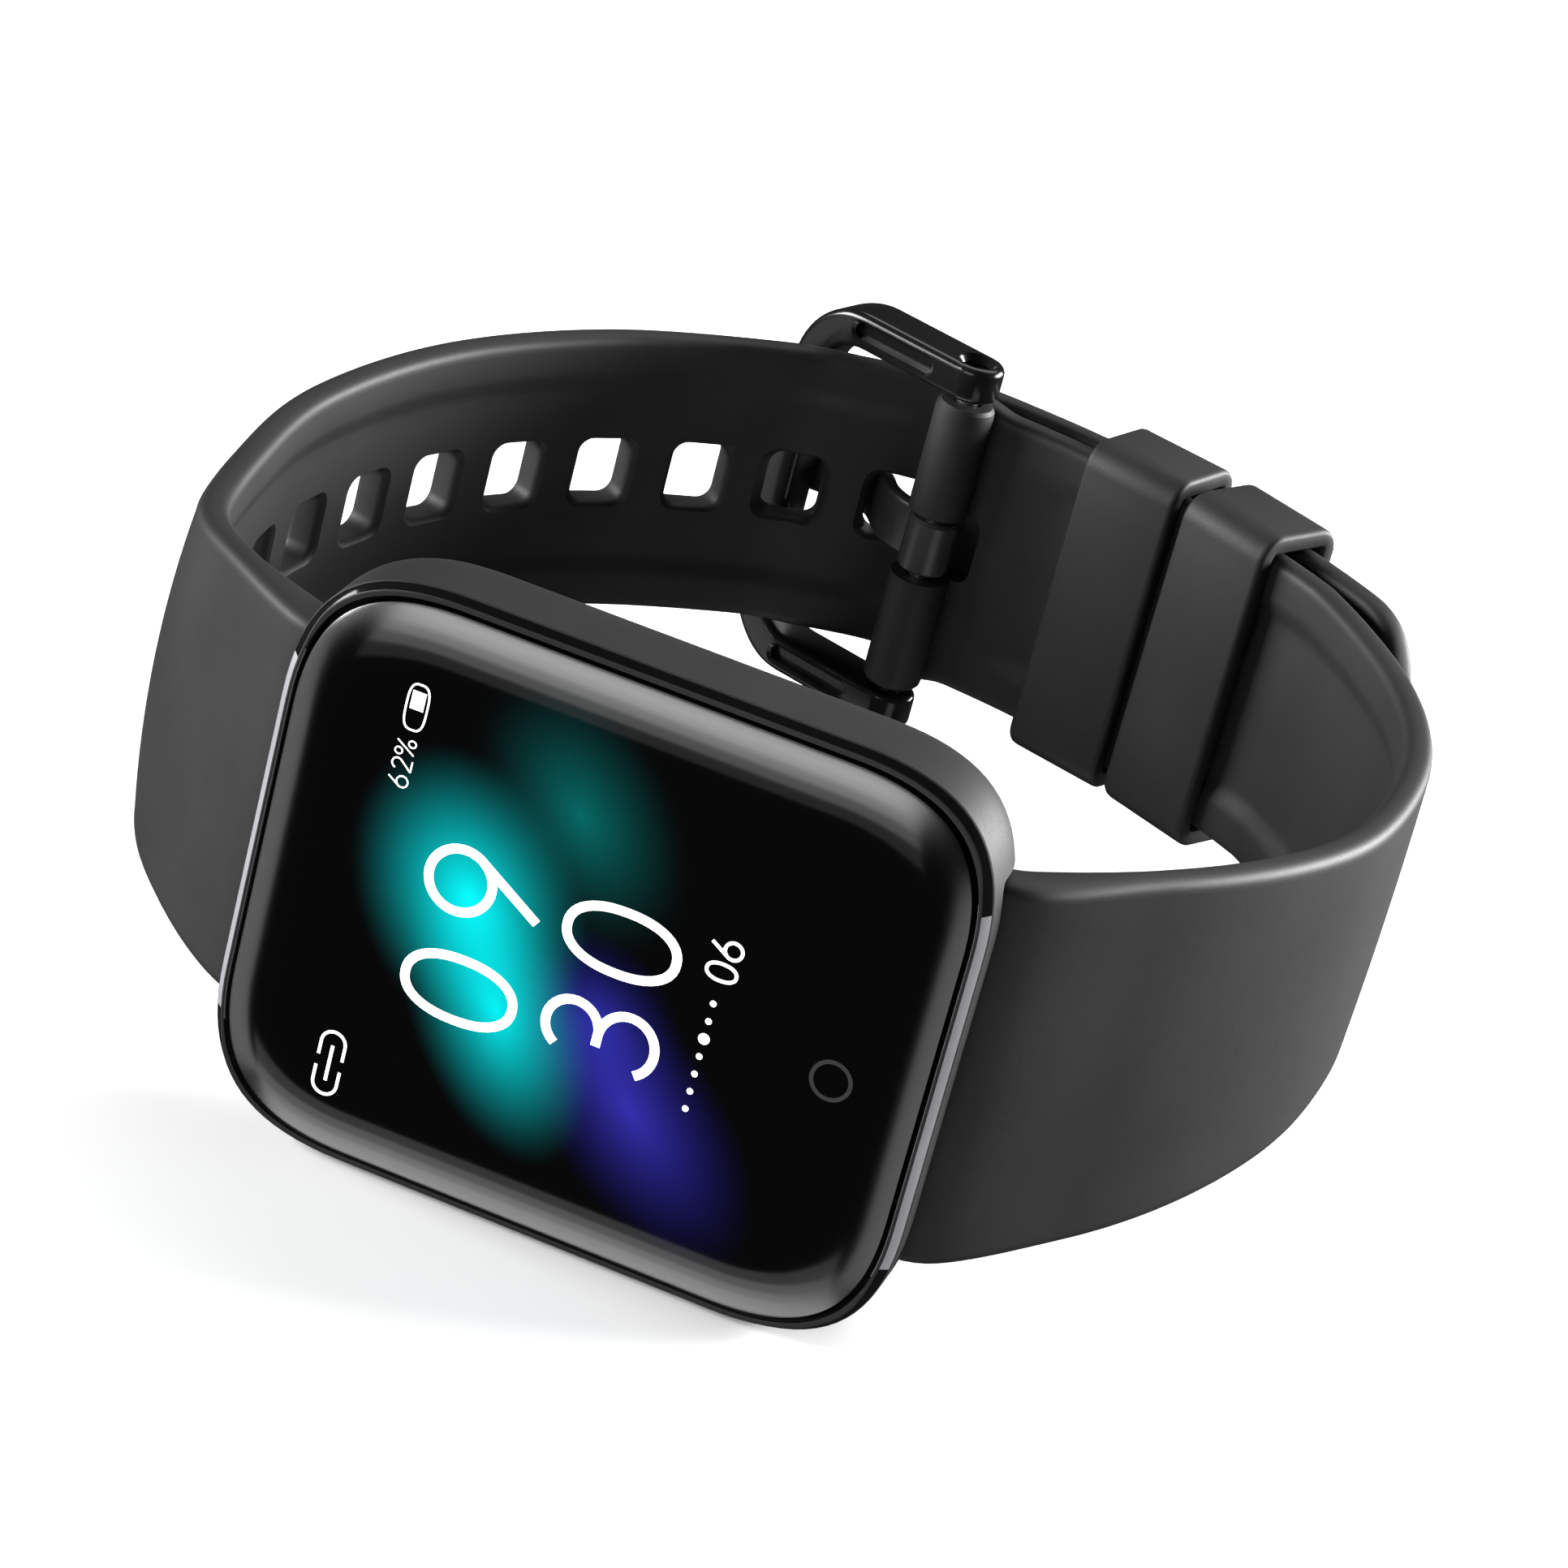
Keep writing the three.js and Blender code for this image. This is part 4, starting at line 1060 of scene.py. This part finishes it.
def make_touch_ring():
    """Dim printed ring that marks the touch key; its faint emission is a painted glow."""
    material, tree, shader = new_material("ring_ink_painted_glow", grey(0.012), 0.4, 0.0)
    vary_color(tree, shader, add_noise(tree, 1500.0), grey(0.011), grey(0.014))
    # Faint emission on a print: painted glow.
    shader.inputs["Emission Color"].default_value = (1, 1, 1, 1)
    shader.inputs["Emission Strength"].default_value = 0.014
    bm = stroke(ellipse((-0.78, -14.97), 1.13, 1.13, count=56), 0.24, True)
    dress(to_object("touch_ring", bm, 40.0), "seal", "watch", material=material)


# ---- back ----
def make_back_cover():
    """Flat plate with a raised dome, which is open in the middle for the sensor window."""
    top = COVER_Y + 1.0
    crest = COVER_Y + 1.9
    edge = [(0.0, COVER_Y), (0.0, COVER_Y + 0.5), (0.12, COVER_Y + 0.8), (0.45, top)]
    rings = slab_rings(16.8, 14.3, 8.0, edge, side=6, steps=12)
    turns = [math.atan2(z, x) for x, _, z in rings[-1]]
    dome = [(1.3, top), (1.4, top), (1.6, top + 0.06), (2.0, top + 0.5), (2.6, top + 0.78),
            (3.3, crest), (3.4, crest)]
    rings += slab_rings(13.2, 12.2, 8.4, dome, pull=0.6, side=6, steps=12)
    for radius, y in ((7.7, crest), (7.5, crest - 0.05), (7.5, COVER_Y)):
        rings.append([(radius * math.cos(a), y, radius * math.sin(a)) for a in turns])
    cover = loft(rings, loop=True)
    seat = COVER_Y + 0.45
    countersink = [(0.65, COVER_Y - 1), (0.65, seat), (0.95, seat), (1.05, COVER_Y + 1.3)]
    for x in (-SCREW_X, SCREW_X):
        for z in (-SCREW_Z, SCREW_Z):
            cover = cut(cover, turned_y(x, z, countersink, 32))
    for x in (-CONTACT_X, CONTACT_X):
        cover = cut(cover, turned_y(x, CONTACT_Z, [(0.95, COVER_Y - 1), (0.95, COVER_Y + 3)], 32))
    dress(to_object("rear_cover", cover, 28.0), "back", "watch", "back_cover")


def make_sensor_window():
    profile = [(7.0, COVER_Y + 0.35), (7.2, COVER_Y + 0.5), (7.2, COVER_Y + 1.35), (6.9, COVER_Y + 1.6),
               (5.4, COVER_Y + 1.9), (3.0, COVER_Y + 2.08), (0.4, COVER_Y + 2.15)]
    window = to_object("optical_window", turned_y(0, 0, profile, 72), 30.0)
    dress(window, "window", "watch", "sensor_window")
    lenses = []
    for x, radius, rise in LENS_PLACES:
        y = COVER_Y + rise
        lenses.append(turned_y(x, 0, [(radius, y - 0.05), (radius, y + 0.08), (radius * 0.6, y + 0.16),
                                      (0.1, y + 0.2)], 40))
    dress(to_object("sensor_lenses", joined(*lenses), 35.0), "led", "watch")


def make_back_screws():
    """Four screws with a cross slot."""
    top = COVER_Y + 0.85
    places = [(x, z) for x in (-SCREW_X, SCREW_X) for z in (-SCREW_Z, SCREW_Z)]
    for index, (x, z) in enumerate(places, start=1):
        screw = turned_y(x, z, [(0.35, CASE_BACK_Y - 2.4), (0.35, COVER_Y + 0.6), (0.62, COVER_Y + 0.6),
                                (0.65, COVER_Y + 0.9), (0.5, COVER_Y + 1.05)], 32)
        screw = cut(screw, box_bm(x - 0.4, x + 0.4, top, COVER_Y + 2, z - 0.07, z + 0.07))
        screw = cut(screw, box_bm(x - 0.07, x + 0.07, top, COVER_Y + 2, z - 0.4, z + 0.4))
        obj = to_object(f"cover_screw_{index}", screw, 30.0)
        dress(obj, "steel", "watch", f"back_screw_{screw_node(x, z)}")


def screw_node(x, z):
    """Number of the CAD screw at that place."""
    for i in range(1, 5):
        low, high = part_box(f"back_screw_{i}")
        gap = (low + high) / 2 - at(x, 0, z)
        if math.hypot(gap.x, gap.z) < MM:
            return i
    raise ValueError("no screw there")


# ---- spring bars ----
def helix(radius, wire, length, turns, steps=12, sides=6):
    """Coil of round wire that stands on its lower end, about the local third axis."""
    rings = []
    for i in range(turns * steps + 1):
        a = 2 * math.pi * i / steps
        out = np.array((math.cos(a), math.sin(a), 0.0))
        start = out * radius + np.array((0.0, 0.0, wire + length * i / (turns * steps)))
        ring = []
        for k in range(sides):
            b = 2 * math.pi * k / sides
            ring.append(start + out * wire * math.cos(b) + np.array((0.0, 0.0, wire * math.sin(b))))
        rings.append(ring)
    return loft(rings)


def make_bar_spring(place_name):
    """Coil spring inside a bar tube, which shortens as the quick-release pin is drawn in; this coil is
    built at one length, in a mesh of its own.
    """
    node = f"bar_spring_{place_name}"
    low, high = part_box(node)
    foot = Vector(((low.x + high.x) / 2, (low.y + high.y) / 2, low.z))
    wire = 0.055
    length = (high.z - low.z) / MM
    bm = helix((high.x - low.x) / 2 / MM - wire, wire, length - 2 * wire, 16)
    bmesh.ops.translate(bm, verts=bm.verts, vec=(foot - SHIFT) / MM)
    spring = to_object(f"coil_spring_{place_name}", bm, 60.0)
    dress(spring, "steel", "watch", node)
    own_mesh(spring)


# ---- surroundings ----
FLOOR_HALF = 3.0                     # these three are in metres
STRIP_DISTANCE = 1.2
LIGHT_TARGET = (0, 0, 0.02)


def make_floor():
    """Pale floor. It is hidden from glossy rays, so that the lens mirrors only the strips."""
    bm = bmesh.new()
    bmesh.ops.create_grid(bm, x_segments=1, y_segments=1, size=FLOOR_HALF)
    mesh = bpy.data.meshes.new("floor")
    bm.to_mesh(mesh)
    bm.free()
    floor = bpy.data.objects.new("floor", mesh)
    bpy.context.scene.collection.objects.link(floor)
    material, tree, shader = new_material("floor", grey(0.86, 1.0), 0.9, 0.0, Specular_IOR_Level=0.0)
    vary_color(tree, shader, add_noise(tree, 2.0), grey(0.86, 1.0), grey(0.88, 1.0))
    floor.data.materials.append(material)
    floor.visible_glossy = False


def softbox(name, centre, target, size_a, size_b, power):
    data = bpy.data.lights.new(name, "AREA")
    data.shape = "RECTANGLE"
    data.size = size_a
    data.size_y = size_b
    data.energy = power
    light = bpy.data.objects.new(name, data)
    bpy.context.scene.collection.objects.link(light)
    way = Vector(target) - Vector(centre)
    light.location = centre
    light.rotation_euler = way.to_track_quat("-Z", "Y").to_euler()


def glass_strip(turn, rise, wide, tall, radiance):
    """Softbox seen from the lens at a turn (degrees from the front towards 6 o'clock) and a rise
    above the lens's level; wide and tall are the angles that it fills."""
    a = math.radians(turn)
    e = math.radians(rise)
    way = Vector((math.sin(a) * math.cos(e), -math.cos(a) * math.cos(e), math.sin(e)))
    centre = at(0, 0, 0) + way * STRIP_DISTANCE
    size_a = 2 * STRIP_DISTANCE * math.tan(math.radians(wide / 2))
    size_b = 2 * STRIP_DISTANCE * math.tan(math.radians(tall / 2))
    softbox("glass_strip", centre, at(0, 0, 0), size_a, size_b, radiance * math.pi * size_a * size_b)


def make_lights():
    softbox("overhead", (0.0, 0.55, 0.85), (0, 0, 0), 1.0, 0.6, 5.6)
    softbox("left", (-0.69, -0.2, 0.2), LIGHT_TARGET, 0.5, 0.3, 17.0)
    softbox("right", (0.58, 0.49, 0.2), LIGHT_TARGET, 0.5, 0.3, 30.0)
    # Front strips grow brighter upwards, and those under the floor's level grow brighter downwards.
    for rise, radiance in ((-10, 0.2), (-2, 0.9), (6, 2.2), (14, 4.2), (22, 6.5)):
        glass_strip(-14, rise, 40, 8, radiance)
    for rise, radiance in ((-44, 0.4), (-52, 1.0), (-60, 1.7), (-68, 2.6), (-77, 3.6)):
        glass_strip(-14, rise, 50, 8, radiance)
    glass_strip(-66, -28, 22, 40, 1.1)
    glass_strip(44, -28, 26, 40, 1.2)
    world = bpy.data.worlds.new("studio")
    bpy.context.scene.world = world
    world.use_nodes = True
    background = world.node_tree.nodes["Background"]
    background.inputs["Color"].default_value = (1, 1, 1, 1)
    background.inputs["Strength"].default_value = 0.03


make_floor()
make_lights()
bpy.context.scene.view_settings.view_transform = "Standard"

make_case()
make_glass()
make_gasket()
make_screen()
make_ink()
make_touch_ring()
make_back_cover()
make_sensor_window()
make_back_screws()
make_long_strap()
make_short_strap()
make_keeper(1, KEEPER_ANGLES[0], "keeper_near")
make_keeper(2, KEEPER_ANGLES[1], "keeper_far")
make_buckle_frame()
make_tongue()
make_buckle_pin()
for place_name in ("12", "6"):
    make_bar_spring(place_name)
